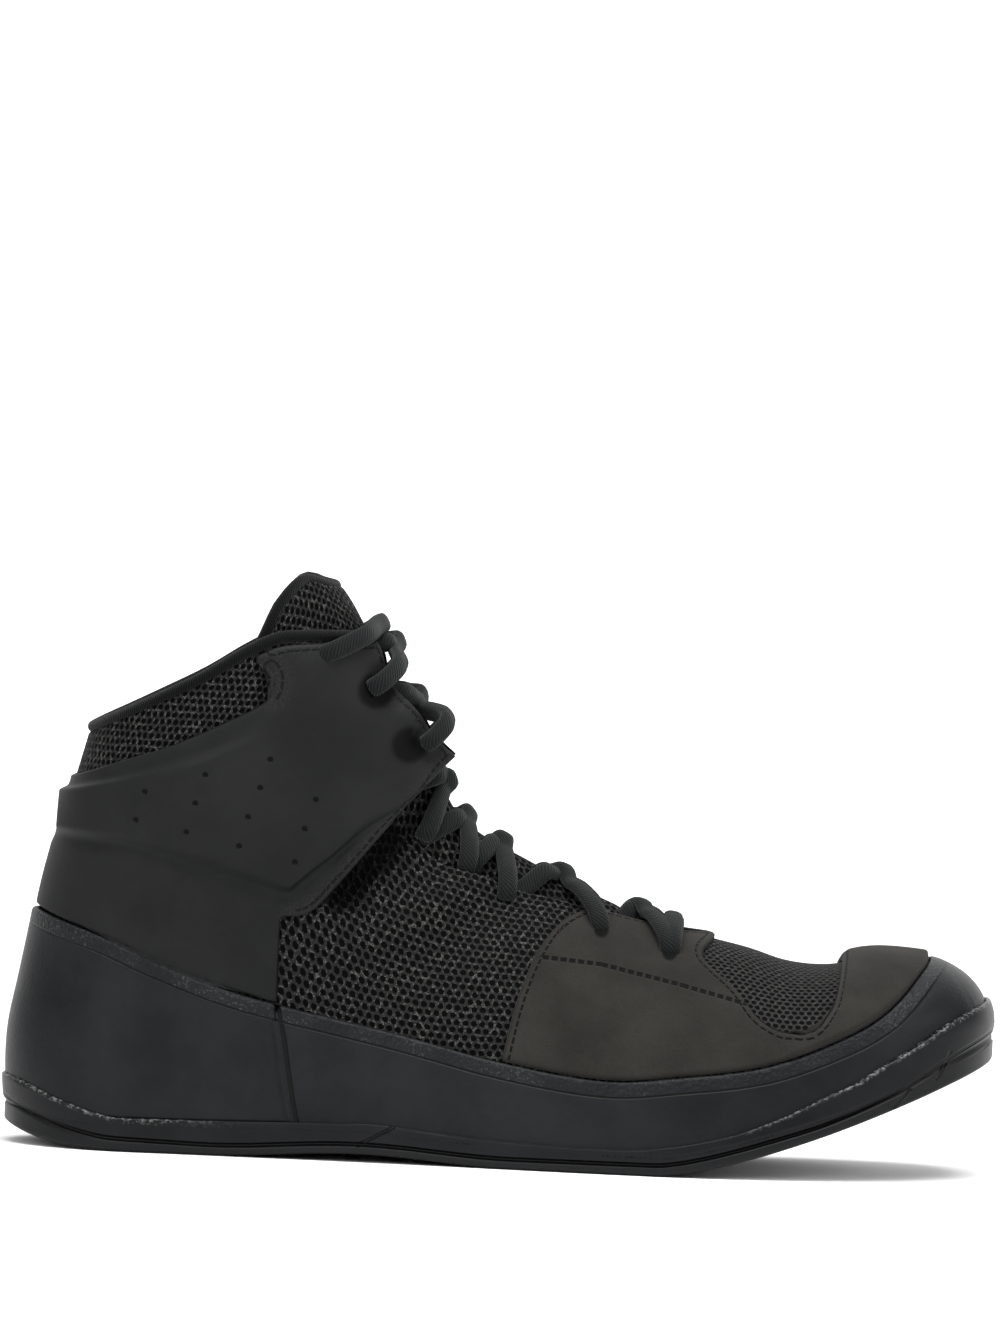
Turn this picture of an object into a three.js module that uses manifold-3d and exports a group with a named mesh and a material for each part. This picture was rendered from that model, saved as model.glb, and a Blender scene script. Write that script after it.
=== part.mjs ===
// Wrestling shoe, right foot, standing empty on its sole. Millimetres, +X from heel to toe,
// +Y to the wearer's left, which is the inner side of a right shoe, +Z up from the floor.
// Every piece is cut from, or laid along, one form: a family of sections that fan from upright at
// the toe to nearly level at the collar. A place on the form is a station (0 at the toe tip, growing
// over the vamp and up the ankle), a rise (0 at the sole or the heel's back line, 1 at the ridge of
// the foot) and a side (-1 outer, +1 inner).
import * as THREE from "three";
import Module from "manifold-3d";

const wasm = await Module();
wasm.setup();

// Driving sizes
const length = 290; // heel to toe, over the sole
const ballWidth = 98; // over the sole at the ball of the foot
const heelWidth = 67; // over the sole at the heel
const ankleWidth = 68; // over the bare shaft at the ankle bones
const instepHeight = 92; // ridge of the foot where the shaft begins, above the floor
const collarHeight = 121; // back of the collar, above the floor
const toeSpring = 36; // underside of the toe tip, above the floor
const archLift = 2.3; // underside of the waist, above the floor
const heelBevel = 8; // underside of the heel's back edge, above the floor
const heelSole = 9; // sole thickness under the heel
const ballSole = 6; // sole thickness under the ball
const wall = 2.2; // upper: mesh with its lining
const gap = 0.3; // between pieces that touch
const panel = 1.4; // synthetic overlays
const panelBack = 1; // how far the toe overlay stays back from the throat's edge
const wingStep = 1.3; // raised field of the ankle wing, above the rest of its panel
const wingFlare = 9; // how far the wing's front corner stands off the shaft
const capStep = 3.2; // toe cap, above the mesh
const rand = 2.2; // grained band round the foot
const randFront = 1.7; // the same, in front of the heel counter
const lip = 1; // sole's edge, outside the rand
const insoleThickness = 3.5;
const tongueThickness = 3;
const tongueRoom = 1.6; // between the upper's inside and the tongue
const throatWidth = 30; // open slot over the instep
const throatEnd = 15; // slot's width at its toe end
const wingSlot = 16; // between the wing's two front edges
const eyeletRadius = 2.6;
const laceWidth = 6.4;
const laceHeight = 3;
const crossOver = 0.9; // of one strand over the other where they cross
const bindingRadius = 2.1; // rolled edge of the collar
const treadDepth = 1.6;
const treadSlot = 3; // grooves between the ribs of the tread
const treadPitch = 11;
const treadRim = 7; // plain edge round the tread
const sideGroove = 1.1; // depth of the groove along the sole's side

// How finely the form is cut: rows between the sole and the ridge on each side
const halfRows = 8;

const clamp = (value, low, high) => Math.min(high, Math.max(low, value));
const mix = (from, to, share) => from + (to - from) * share;
const smooth = (value, low, high) => {
  const share = clamp((value - low) / (high - low), 0, 1);
  return share * share * (3 - 2 * share);
};

// A curve through the values of one column, read at a place between 0 and the last row.
function between(values, place) {
  const last = values.length - 1;
  const at = clamp(place, 0, last);
  const row = Math.min(Math.floor(at), last - 1);
  const [b, c] = [values[row], values[row + 1]];
  const a = row > 0 ? values[row - 1] : 2 * b - c;
  const d = row + 2 <= last ? values[row + 2] : 2 * c - b;
  const t = at - row;
  return b + 0.5 * t * (c - a + t * (2 * a - 5 * b + 4 * c - d + t * (3 * (b - c) + d - a)));
}

// The same for a table of [place, value] pairs whose places aren't even.
function follow(table, place) {
  const last = table.length - 1;
  let row = 0;
  while (row < last - 1 && place > table[row + 1][0]) row += 1;
  const [from, to] = [table[row][0], table[row + 1][0]];
  const share = clamp((place - from) / (to - from), 0, 1);
  return between(table.map((pair) => pair[1]), row + share);
}

// Side view of the sole
const springFrom = 0.662 * length; // where the toe starts to lift
const springCurve = 1.4;
const bevelTo = 0.13 * length;
const [archFrom, archTo] = [0.2 * length, 0.52 * length];
const spring = (x) =>
  x > springFrom ? toeSpring * ((x - springFrom) / (length - springFrom)) ** springCurve : 0;
function rockerAt(x) {
  if (x < bevelTo) return heelBevel * (1 - Math.max(x, 0) / bevelTo) ** 2.9;
  if (x < archFrom || x > archTo) return 0;
  return archLift * Math.sin((Math.PI * (x - archFrom)) / (archTo - archFrom)) ** 2;
}
const undersideAt = (x) => spring(x) + rockerAt(x);
const soleAt = (x) => mix(heelSole, ballSole, smooth(x, 0.3 * length, 0.62 * length));
const floorAt = (x) => spring(x) + soleAt(x) + 0.4 * rockerAt(x);

// Back line of the heel: height as a share of the collar's, then place as a share of the length
const backLine = [
  [0.0, 0.03],
  [0.07, 0.0165],
  [0.15, 0.0105],
  [0.23, 0.0095],
  [0.3, 0.0115],
  [0.37, 0.017],
  [0.45, 0.0235],
  [0.54, 0.0295],
  [0.63, 0.036],
  [0.74, 0.0465],
  [0.86, 0.0585],
  [0.98, 0.0715],
  [1.09, 0.0835],
  [1.2, 0.095],
].map(([rise, place]) => [rise * collarHeight, place * length]);
const backAt = (z) => follow(backLine, z);

// The form's own half widths, inside the rand and the sole's lip
const layers = gap + rand + lip;
const ballHalf = ballWidth / 2 - layers;
const heelHalf = heelWidth / 2 - layers;
const ankleHalf = ankleWidth / 2;

// Sections of the foot, from the toe tip to the instep. topX, botX: share of the length. top: height
// over the toe's lift, share of the instep's. lift: botX's height over the sole, share of the same.
// half: share of the ball's. centre, ridge: sideways shift, share of the ball's. widest: rise of the
// widest place. crown, cheek: how square the section is over that place.
const foot = [
  { topX: 0.9885, top: 0.122, botX: 0.9875, lift: 0.02, half: 0, centre: 0.2, ridge: 0.2 },
  { topX: 0.986, top: 0.165, botX: 0.9825, lift: 0.01, half: 0.27, centre: 0.193, ridge: 0.2 },
  { topX: 0.9775, top: 0.232, botX: 0.971, lift: 0.002, half: 0.475, centre: 0.18, ridge: 0.197 },
  { topX: 0.962, top: 0.303, botX: 0.952, lift: 0, half: 0.64, centre: 0.162, ridge: 0.193 },
  { topX: 0.9385, top: 0.374, botX: 0.926, lift: 0, half: 0.765, centre: 0.138, ridge: 0.187 },
  { topX: 0.906, top: 0.435, botX: 0.895, lift: 0, half: 0.86, centre: 0.108, ridge: 0.18 },
  { topX: 0.87, top: 0.486, botX: 0.858, lift: 0, half: 0.927, centre: 0.073, ridge: 0.17 },
  { topX: 0.831, top: 0.514, botX: 0.819, lift: 0, half: 0.972, centre: 0.036, ridge: 0.158 },
  { topX: 0.789, top: 0.572, botX: 0.776, lift: 0, half: 0.995, centre: 0, ridge: 0.144 },
  { topX: 0.744, top: 0.652, botX: 0.731, lift: 0, half: 1, centre: -0.034, ridge: 0.128 },
  { topX: 0.697, top: 0.727, botX: 0.683, lift: 0, half: 0.985, centre: -0.063, ridge: 0.11 },
  { topX: 0.649, top: 0.778, botX: 0.631, lift: 0, half: 0.938, centre: -0.09, ridge: 0.092 },
  { topX: 0.601, top: 0.828, botX: 0.575, lift: 0, half: 0.872, centre: -0.113, ridge: 0.075 },
  { topX: 0.556, top: 0.891, botX: 0.513, lift: 0, half: 0.8, centre: -0.127, ridge: 0.058 },
  { topX: 0.514, top: 0.956, botX: 0.445, lift: 0, half: 0.738, centre: -0.124, ridge: 0.043 },
  { topX: 0.479, top: 1.011, botX: 0.366, lift: 0, half: 0.7, centre: -0.1, ridge: 0.03 },
  { topX: 0.452, top: 1.07, botX: 0.277, lift: 0, half: 0.695, centre: -0.066, ridge: 0.018 },
];
const footShape = [
  // station, widest, crown, cheek
  [0, 0.5, 2.2, 2.1],
  [4, 0.34, 2.3, 2.15],
  [7, 0.26, 2.2, 2.05],
  [10, 0.22, 2.0, 1.85],
  [13, 0.22, 1.85, 1.65],
  [16, 0.28, 1.9, 1.7],
  [19, 0.38, 2.0, 1.85],
  [23, 0.5, 2.1, 2.0],
  [29, 0.52, 2.1, 2.0],
];

// Sections that run from the front of the ankle to the heel. topX: share of the length. top: share of
// the collar's height. botX: share of the length, on the sole. back: share of the way up the heel's
// back line, from the sole to the collar. half: share of the way from the heel's width to the ankle's.
const ankle = [
  { topX: 0.4375, top: 0.86, botX: 0.19, half: 0.16 },
  { topX: 0.431, top: 0.9, botX: 0.11, half: 0.12 },
  { topX: 0.4265, top: 0.93, botX: 0.055, half: 0.1 },
  { topX: 0.4225, top: 0.955, botX: 0.027, half: 0.1 },
  { topX: 0.419, top: 0.978, back: 0, half: 0.12 },
  { topX: 0.4125, top: 1.02, back: 0.1, half: 0.22 },
  { topX: 0.4055, top: 1.062, back: 0.21, half: 0.36 },
  { topX: 0.398, top: 1.103, back: 0.335, half: 0.52 },
  { topX: 0.39, top: 1.144, back: 0.465, half: 0.68 },
  { topX: 0.3815, top: 1.186, back: 0.59, half: 0.82 },
  { topX: 0.373, top: 1.227, back: 0.72, half: 0.93 },
  { topX: 0.3645, top: 1.268, back: 0.845, half: 1 },
  { topX: 0.355, top: 1.31, back: 0.97, half: 1.02 },
  { topX: 0.344, top: 1.354, back: 1.09, half: 1.03 },
  { topX: 0.331, top: 1.396, back: 1.21, half: 1.04 },
  { topX: 0.315, top: 1.44, back: 1.35, half: 1.05 },
];
const shapeColumn = (column) => (station) =>
  follow(footShape.map((row) => [row[0], row[column]]), station);
const widestAt = shapeColumn(1);
const crownAt = shapeColumn(2);
const cheekAt = shapeColumn(3);

const heelFloor = floorAt(0.014 * length);
const sections = [
  ...foot.map((row) => ({
    topX: row.topX * length,
    topZ: spring(row.topX * length) + row.top * instepHeight,
    botX: row.botX * length,
    botZ: floorAt(row.botX * length) + row.lift * instepHeight,
    half: row.half * ballHalf,
    centre: row.centre * ballHalf,
    ridge: row.ridge * ballHalf,
  })),
  ...ankle.map((row) => {
    const onBack = row.back !== undefined;
    const botZ = onBack ? mix(heelFloor, collarHeight, row.back) : floorAt(row.botX * length);
    return {
      topX: row.topX * length,
      topZ: row.top * collarHeight,
      botX: onBack ? backAt(botZ) : row.botX * length,
      botZ,
      half: mix(heelHalf, ankleHalf, row.half) + 2,
      centre: 0,
      ridge: 0,
    };
  }),
];
const lastStation = sections.length - 1;
const heelStation = foot.length + ankle.findIndex((row) => row.back === 0);
const columns = Object.fromEntries(
  Object.keys(sections[0]).map((name) => [name, sections.map((row) => row[name])]),
);
const read = (name, station) => between(columns[name], station);

// Rounding of the heel in plan, and the hollow above it on both sides
const heelRound = 37;
const heelSquare = 0.52;
const hollow = { depth: 0.09, height: 0.47, spread: 0.2, front: 0.42 };
const round = (distance, radius, power) =>
  (1 - (1 - clamp(distance / radius, 0, 1)) ** 2) ** power;

function formPoint(station, rise, side) {
  const x = mix(read("botX", station), read("topX", station), rise);
  const z = mix(read("botZ", station), read("topZ", station), rise);
  const widest = widestAt(station);
  const over = clamp((rise - widest) / (1 - widest), 0, 1);
  const arch = (1 - over ** crownAt(station)) ** (1 / cheekAt(station));
  const heelBack = round(x - backAt(z), heelRound, heelSquare);
  const rear = 1 - smooth(x, 0.6 * hollow.front * length, hollow.front * length);
  const bell = Math.exp(-(((z / collarHeight - hollow.height) / hollow.spread) ** 2));
  const half = read("half", station) * arch * heelBack * (1 - hollow.depth * bell * rear);
  const middle = mix(read("centre", station), read("ridge", station), rise);
  return new THREE.Vector3(x, middle + side * half, z);
}
// Places of the rings, from the toe tip to above the collar, and of the rows on each side
const ringPlaces = [0, 0.4, 1, 2];
for (let station = 3; station < 18; station += 1.5) ringPlaces.push(station);
ringPlaces.push(18, 19, 20, heelStation);
for (let station = heelStation + 1.5; station < 30; station += 1.5) ringPlaces.push(station);
ringPlaces.push(30.5, lastStation);
const rowPlaces = [];
for (let row = 0; row <= halfRows; row += 1) {
  rowPlaces.push(0.5 - 0.5 * Math.cos((Math.PI * row) / halfRows));
}
const skirt = 8; // the form runs on below the sole's top, to be cut off there

// One closed loop of points: up the outer side, over the ridge and down the inner side
function ringPoints(station) {
  const drop = station <= heelStation ? skirt : 0;
  const outer = rowPlaces.map((rise) => formPoint(station, rise, -1));
  const inner = rowPlaces.slice(0, -1).map((rise) => formPoint(station, rise, 1));
  const sides = [...outer, ...inner.reverse()];
  const lower = (point) => new THREE.Vector3(point.x, point.y, point.z - drop);
  return [lower(sides[0]), ...sides, lower(sides[sides.length - 1])];
}

// Triangles of a tube of closed loops, with an end cap at both ends made of strips across
function tubeTriangles(loops, size) {
  const triangles = [];
  for (let loop = 0; loop + 1 < loops; loop += 1) {
    for (let k = 0; k < size; k += 1) {
      const a = loop * size + k;
      const b = loop * size + ((k + 1) % size);
      triangles.push([a, b, a + size], [b, b + size, a + size]);
    }
  }
  const end = (loops - 1) * size;
  for (let low = 0, high = size - 1; low + 1 < high; low += 1, high -= 1) {
    triangles.push([low, high, low + 1], [end + low, end + low + 1, end + high]);
    if (low + 2 > high - 1 && low + 2 !== high) continue;
    if (low + 1 === high - 1) continue;
    triangles.push([low + 1, high, high - 1], [end + low + 1, end + high - 1, end + high]);
  }
  return triangles;
}

// A closed solid from points and triangles. Points that coincide are joined first.
function solid(points, triangles) {
  const keys = new Map();
  const kept = [];
  const joined = points.map((point) => {
    const key = [point.x, point.y, point.z].map((value) => Math.round(value * 1e3)).join(" ");
    if (!keys.has(key)) {
      keys.set(key, kept.length);
      kept.push(point);
    }
    return keys.get(key);
  });
  const faces = triangles
    .map((corners) => corners.map((corner) => joined[corner]))
    .filter(([a, b, c]) => a !== b && b !== c && c !== a);
  const body = new wasm.Manifold(
    new wasm.Mesh({
      numProp: 3,
      vertProperties: new Float32Array(kept.flatMap((point) => [point.x, point.y, point.z])),
      triVerts: new Uint32Array(faces.flat()),
    }),
  );
  if (body.volume() > 0) return body;
  return solid(points, triangles.map(([a, b, c]) => [a, c, b]));
}

function fromGeometry(geometry) {
  const position = geometry.getAttribute("position");
  const points = [];
  for (let k = 0; k < position.count; k += 1) {
    points.push(new THREE.Vector3().fromBufferAttribute(position, k));
  }
  const order = geometry.index ? [...geometry.index.array] : points.map((_, k) => k);
  const triangles = [];
  for (let k = 0; k < order.length; k += 3) triangles.push(order.slice(k, k + 3));
  return solid(points, triangles);
}

const join = (bodies) => bodies.reduce((whole, body) => whole.add(body));
const largest = (body) => body.decompose().sort((a, b) => b.volume() - a.volume())[0];

// The form's points, and the outward direction at each
const formRings = ringPlaces.map(ringPoints);
const formTriangles = tubeTriangles(formRings.length, formRings[0].length);
const formPoints = formRings.flat();
const spotKey = (point) => [point.x, point.y, point.z].map((v) => Math.round(v * 1e2)).join(" ");
const facing = new Map(formPoints.map((point) => [spotKey(point), new THREE.Vector3()]));
for (const [a, b, c] of formTriangles) {
  const ab = formPoints[b].clone().sub(formPoints[a]);
  const face = ab.cross(formPoints[c].clone().sub(formPoints[a]));
  for (const corner of [a, b, c]) facing.get(spotKey(formPoints[corner])).add(face);
}
const outward = formPoints.map((point) => facing.get(spotKey(point)).clone().normalize());
const isInverted = outward[formRings[0].length * 10].y > 0;
if (isInverted) for (const direction of new Set(outward)) direction.negate();

// The form grown outward by an offset: a number, or a function of the place and its station
function skin(offset) {
  const grow = typeof offset === "function" ? offset : () => offset;
  const stations = ringPlaces.flatMap((station) => formRings[0].map(() => station));
  return solid(
    formPoints.map((point, k) => {
      return point.clone().addScaledVector(outward[k], grow(point, stations[k]));
    }),
    formTriangles,
  );
}
const shell = (inside, outside) => skin(outside).subtract(skin(inside));

// A closed side view outline, run right through the shoe
const far = 2 * length;
function region(points) {
  const shape = new THREE.Shape(points.map(([x, z]) => new THREE.Vector2(x, z)));
  const geometry = new THREE.ExtrudeGeometry(shape, { depth: far, bevelEnabled: false });
  geometry.rotateX(Math.PI / 2);
  geometry.translate(0, far / 2, 0);
  return fromGeometry(geometry);
}

// A smooth side view line through places given as [station, rise]
function line(places, steps = 2) {
  const spots = places.map(([station, rise]) => formPoint(station, rise, 0));
  const [xs, zs] = [spots.map((spot) => spot.x), spots.map((spot) => spot.z)];
  const count = (places.length - 1) * steps;
  return Array.from({ length: count + 1 }, (_, k) => [
    between(xs, k / steps),
    between(zs, k / steps),
  ]);
}
const raised = (points, height) => points.map(([x, z]) => [x, z + height]);

// Side view lines
const collarLine = [[29.3, -0.12], [29.35, 0.03], [29.35, 0.2], [29.4, 0.4], [29.6, 0.56]];
collarLine.push([29.65, 0.68], [29.3, 0.78], [28.6, 0.9], [28, 0.97], [27.7, 1.05]);
const randLine = [[26.2, -0.1], [25.7, -0.03], [25, 0.06], [23.5, 0.23], [21.8, 0.35]];
randLine.push([18.5, 0.39], [17.1, 0.37], [15.1, 0.33], [13.4, 0.3], [11.6, 0.3], [10.1, 0.35]);
randLine.push([8.4, 0.39], [6.8, 0.48], [5.5, 0.6], [4.5, 0.9], [3.9, 1.17], [3.6, 1.4]);
const counterSeam = [[17.3, 0.41], [17.1, 0.37], [16.5, 0.25], [16.1, 0.13], [15.5, -0.1]];
const quarterSeam = [[17.1, 0.3], [17.1, 0.37], [18, 0.47], [18.9, 0.59]];
const wingEdge = [[18.9, 0.59], [18.4, 0.63], [18.7, 0.68], [19, 0.76], [18.7, 0.87], [18.8, 1.02]];
wingEdge.push([18.6, 1.06], [19.6, 1.07], [21.4, 1.04], [23.5, 1], [25.7, 0.99], [28.3, 0.99]);
const wingTop = [[28.8, 0.63], [28, 0.65], [27.7, 0.61], [27.6, 0.51], [27.8, 0.35], [28, 0.19]];
wingTop.push([28.3, -0.02], [28.5, -0.12]);
const padOutline = [[28, -0.1], [27.6, 0.1], [27.2, 0.3], [26.9, 0.5], [26.4, 0.68], [24.4, 0.8]];
padOutline.push([22, 0.9], [20.2, 0.95], [19.7, 0.9], [20.4, 0.8], [20, 0.64], [23.7, 0.45]);
padOutline.push([25.9, 0.24], [27, 0.02], [27.2, -0.1]);
const panelRear = [[13.4, 0.2], [13.4, 0.48], [13.3, 0.65], [13.1, 0.78], [12.8, 0.87]];
panelRear.push([12.4, 0.94], [11.9, 1.02], [11.5, 1.15]);
const panelFront = [[9.5, 1.2], [9.6, 1.02], [9.9, 0.9], [9.1, 0.77], [8.6, 0.65], [8, 0.58]];
panelFront.push([7.4, 0.56], [6.95, 0.68], [6.8, 0.81], [6.7, 1.02], [6.7, 1.2]);
const tongueEdge = [[9.3, 1.2], [9.3, 0.84], [10.5, 0.74], [12, 0.72], [14, 0.74], [17, 0.78]];
tongueEdge.push([20, 0.78], [23, 0.74], [26, 0.68], [29.4, 0.61], [30, 0.66], [30.7, 0.72]);
tongueEdge.push([31.3, 0.82], [31.6, 0.91], [31.2, 0.96], [30.8, 1.02], [30.8, 1.2]);

const skyward = [[length + far, far], [-far, far]];
const groundward = [[length + far, -far], [-far, -far]];
const soleTop = [];
for (let share = -0.05; share < 1.051; share += 0.03) {
  soleTop.push([share * length, floorAt(share * length)]);
}
const above = (points) => region([...points, ...skyward]);
const overSole = above([[-far, soleTop[0][1] + gap], ...raised(soleTop, gap)]);

// Open slots over the instep, along the ridge: the upper's throat, and the room between the wing's
// two front edges
const throatFrom = 10.3;
const wingFrom = 17;
const throatHalf = (station) =>
  mix(throatEnd, throatWidth, smooth(station, throatFrom, throatFrom + 6)) / 2;
const wingHalf = () => wingSlot / 2;
function slot(from, to, halfAt, wider = 0) {
  const rows = [[from - 0.3, 0.5], [from, 0.85]];
  for (let station = from + 0.45; station < to; station += 1.43) rows.push([station, 1]);
  const points = rows.flatMap(([station, share]) => {
    const top = formPoint(station, 1, 0);
    const up = top.clone().sub(formPoint(station, 0, 0)).setY(0).normalize();
    const half = share * halfAt(station) + wider;
    const corner = (side, height) =>
      new THREE.Vector3(0, side * half, 0).add(top).addScaledVector(up, height);
    const [low, high] = [-wall * 10, far / 10];
    return [corner(-1, low), corner(-1, high), corner(1, high), corner(1, low)];
  });
  return solid(points, tubeTriangles(rows.length, 4));
}

// A place on the form and its outward direction. turn: -1 at the ridge by the outer side, 0 at the
// sole or the heel's back line, 1 at the ridge by the inner side.
function onForm(station, turn) {
  const spot = (s, t) => formPoint(s, Math.abs(t), Math.sign(t) || 1);
  const step = 0.02;
  const along = spot(Math.min(station + step, lastStation), turn).sub(spot(station - step, turn));
  const [less, more] = [Math.max(turn - step, -1), Math.min(turn + step, 1)];
  const normal = along.cross(spot(station, more).sub(spot(station, less))).normalize();
  return { point: spot(station, turn), normal };
}

// A tube of a flattened round section laid along points that each carry an upward direction
function cord(spots, width, height, sides) {
  const points = spots.flatMap(({ point, normal }, k) => {
    const before = spots[Math.max(k - 1, 0)].point;
    const after = spots[Math.min(k + 1, spots.length - 1)].point;
    const ahead = after.clone().sub(before).normalize();
    const across = ahead.clone().cross(normal).normalize();
    const up = across.clone().cross(ahead);
    return Array.from({ length: sides }, (_, side) => {
      const turn = (2 * Math.PI * (side + 0.5)) / sides;
      return point
        .clone()
        .addScaledVector(across, (Math.cos(turn) * width) / 2 / Math.cos(Math.PI / sides))
        .addScaledVector(up, (Math.sin(turn) * height) / 2 / Math.cos(Math.PI / sides));
    });
  });
  return solid(points, tubeTriangles(spots.length, sides));
}

// Collar binding: a rolled edge along the rim, and the room that it takes from its neighbours
const collarSpots = collarLine.slice(1, -2);
const bindingPath = [
  ...collarSpots.map(([station, rise]) => [station, -rise]).reverse(),
  ...collarSpots.map(([station, rise]) => [station, rise]),
];
const bindingStep = 0.37;
const bindingCount = Math.round((bindingPath.length - 1) / bindingStep);
const bindingSpots = Array.from({ length: bindingCount + 1 }, (_, k) => {
  const at = (k / bindingCount) * (bindingPath.length - 1);
  const place = onForm(
    between(bindingPath.map((row) => row[0]), at),
    between(bindingPath.map((row) => row[1]), at),
  );
  return { point: place.point.addScaledVector(place.normal, -wall / 2), normal: place.normal };
});
const beyond = (spot, next) => ({
  point: spot.point.clone().lerp(next.point, -0.1),
  normal: spot.normal,
});
const roomSpots = [
  beyond(bindingSpots[0], bindingSpots[1]),
  ...bindingSpots,
  beyond(bindingSpots.at(-1), bindingSpots.at(-2)),
];
const roomWidth = 2 * (bindingRadius + gap);
const collarBinding = cord(bindingSpots, 2 * bindingRadius, 2 * bindingRadius, 6);
const bindingRoom = cord(roomSpots, roomWidth, roomWidth, 6);
const collarPoints = line(collarLine);
const collarCut = region([
  ...collarPoints,
  [length + far, collarPoints[collarPoints.length - 1][1]],
  ...groundward,
  [-far, collarPoints[0][1]],
]);

// Rows of lace holes, toe to collar. inset: from the edge of the slot to the hole's middle
const laceRows = [
  { station: 10.8, inset: 8, on: "overlay" },
  { station: 12, inset: 8, on: "overlay" },
  { station: 14, inset: 6.5, on: "mesh" },
  { station: 15.2, inset: 6, on: "mesh" },
  { station: 16.7, inset: 6, on: "mesh" },
  { station: 21, inset: 6.5, on: "wing" },
  { station: 25, inset: 8, on: "wing" },
  { station: 28, inset: 17, on: "wing" },
].map((row) => {
  const reach = (row.on === "wing" ? wingHalf() : throatHalf(row.station)) + row.inset;
  return { ...row, reach, rise: riseAt(row.station, reach) };
});

// The rise at which the form is as wide as asked, above its widest place
function riseAt(station, reach) {
  let [low, high] = [widestAt(station), 1];
  for (let turn = 0; turn < 24; turn += 1) {
    const middle = (low + high) / 2;
    const [outer, inner] = [formPoint(station, middle, -1), formPoint(station, middle, 1)];
    if ((inner.y - outer.y) / 2 > reach) low = middle;
    else high = middle;
  }
  return (low + high) / 2;
}

// The wing's front corner stands off the shaft, most at its lowest place
const cornerSpot = formPoint(18.6, 1.06, 0);
function flareAt(point) {
  const distance = Math.hypot(point.x - cornerSpot.x, point.z - cornerSpot.z);
  return wingFlare * (1 - smooth(distance, 0.02 * length, 0.21 * length));
}

function holes(kind, radius) {
  return laceRows.filter((row) => row.on === kind).flatMap(({ station, rise }) =>
    [-1, 1].map((side) => {
      const { point, normal } = onForm(station, side * rise);
      const pin = new THREE.CylinderGeometry(radius, radius, far / 18, 8);
      pin.rotateX(Math.PI / 2);
      pin.lookAt(normal);
      pin.translate(point.x, point.y, point.z);
      return fromGeometry(pin);
    }),
  );
}

// Upper: one hollow wall, open at the collar, along the throat and underneath
const throat = slot(throatFrom, lastStation, throatHalf);
const upper = shell(-wall, 0)
  .intersect(overSole)
  .intersect(collarCut)
  .subtract(throat)
  .subtract(bindingRoom)
  .subtract(join([...holes("mesh", eyeletRadius), ...holes("overlay", eyeletRadius)]));

// Tongue: a wide curved pad under the throat, taller than the collar
const tongueTop = wall + tongueRoom;
const tongue = shell(-tongueTop - tongueThickness, -tongueTop)
  .intersect(region([...line(tongueEdge), [length + far, far], [length + far, 0]]));

// Insole: a loose sheet on the sole, inside the upper
const insoleFloor = raised(soleTop, gap);
const insole = skin(-wall - gap)
  .intersect(overSole)
  .subtract(above([[-far, insoleFloor[0][1]], ...raised(insoleFloor, insoleThickness)]));

// Foot band: grained synthetic all round the foot, in a heel counter and a front part
const randPoints = line(randLine);
const underRand = region([...randPoints, ...groundward]);
const seamPoints = line(counterSeam);
const behindSeam = region([...seamPoints, [seamPoints.at(-1)[0], -far], [-far, -far], [-far, far]]);
const aheadOfSeam = region([
  ...seamPoints.map(([x, z]) => [x + gap, z]),
  [seamPoints.at(-1)[0] + gap, -far],
  [far, -far],
  [far, far],
]);
const heelCounter = shell(gap, gap + rand)
  .intersect(underRand)
  .intersect(overSole)
  .intersect(behindSeam);
const footBand = shell(gap, gap + randFront)
  .intersect(underRand)
  .intersect(overSole)
  .intersect(aheadOfSeam);
const overRand = above(raised(randPoints, 1.5 * gap));

// Toe overlay: eyestays and toe cap in one folded panel
const panelRegion = region([
  ...line(panelRear),
  ...line(panelFront),
  [length + far, far / 2],
  [length + far, 0],
  [line(panelRear)[0][0], 0],
]);
const capEdge = line(panelFront.slice(-5));
const capRegion = region([...capEdge, [length + far, far / 2], [length + far, 0], [capEdge[0][0], 0]]);
const toeOverlay = join([
  shell(gap, gap + panel).intersect(panelRegion),
  shell(gap, gap + capStep).intersect(capRegion),
])
  .intersect(overRand)
  .subtract(slot(throatFrom - 0.1, lastStation, throatHalf, panelBack))
  .subtract(join(holes("overlay", eyeletRadius)));

// Ankle wing: a panel round the heel and ankle with a raised field, free at its front corners
const wingInside = (point) => gap + flareAt(point);
const wingOutside = (thickness) => (point) => gap + flareAt(point) + thickness;
const wingOutline = region([...line(quarterSeam), ...line(wingEdge), ...line(wingTop), [-far, far / 4], [-far, 0]]);
const padOutside = region(line(padOutline));
const pad = shell(wingInside, wingOutside(panel + wingStep)).intersect(padOutside);
const ankleWing = join([shell(wingInside, wingOutside(panel)).intersect(wingOutline), pad])
  .intersect(overRand)
  .intersect(collarCut)
  .subtract(slot(wingFrom, lastStation, wingHalf))
  .subtract(bindingRoom)
  .subtract(join(holes("wing", eyeletRadius)));

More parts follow.
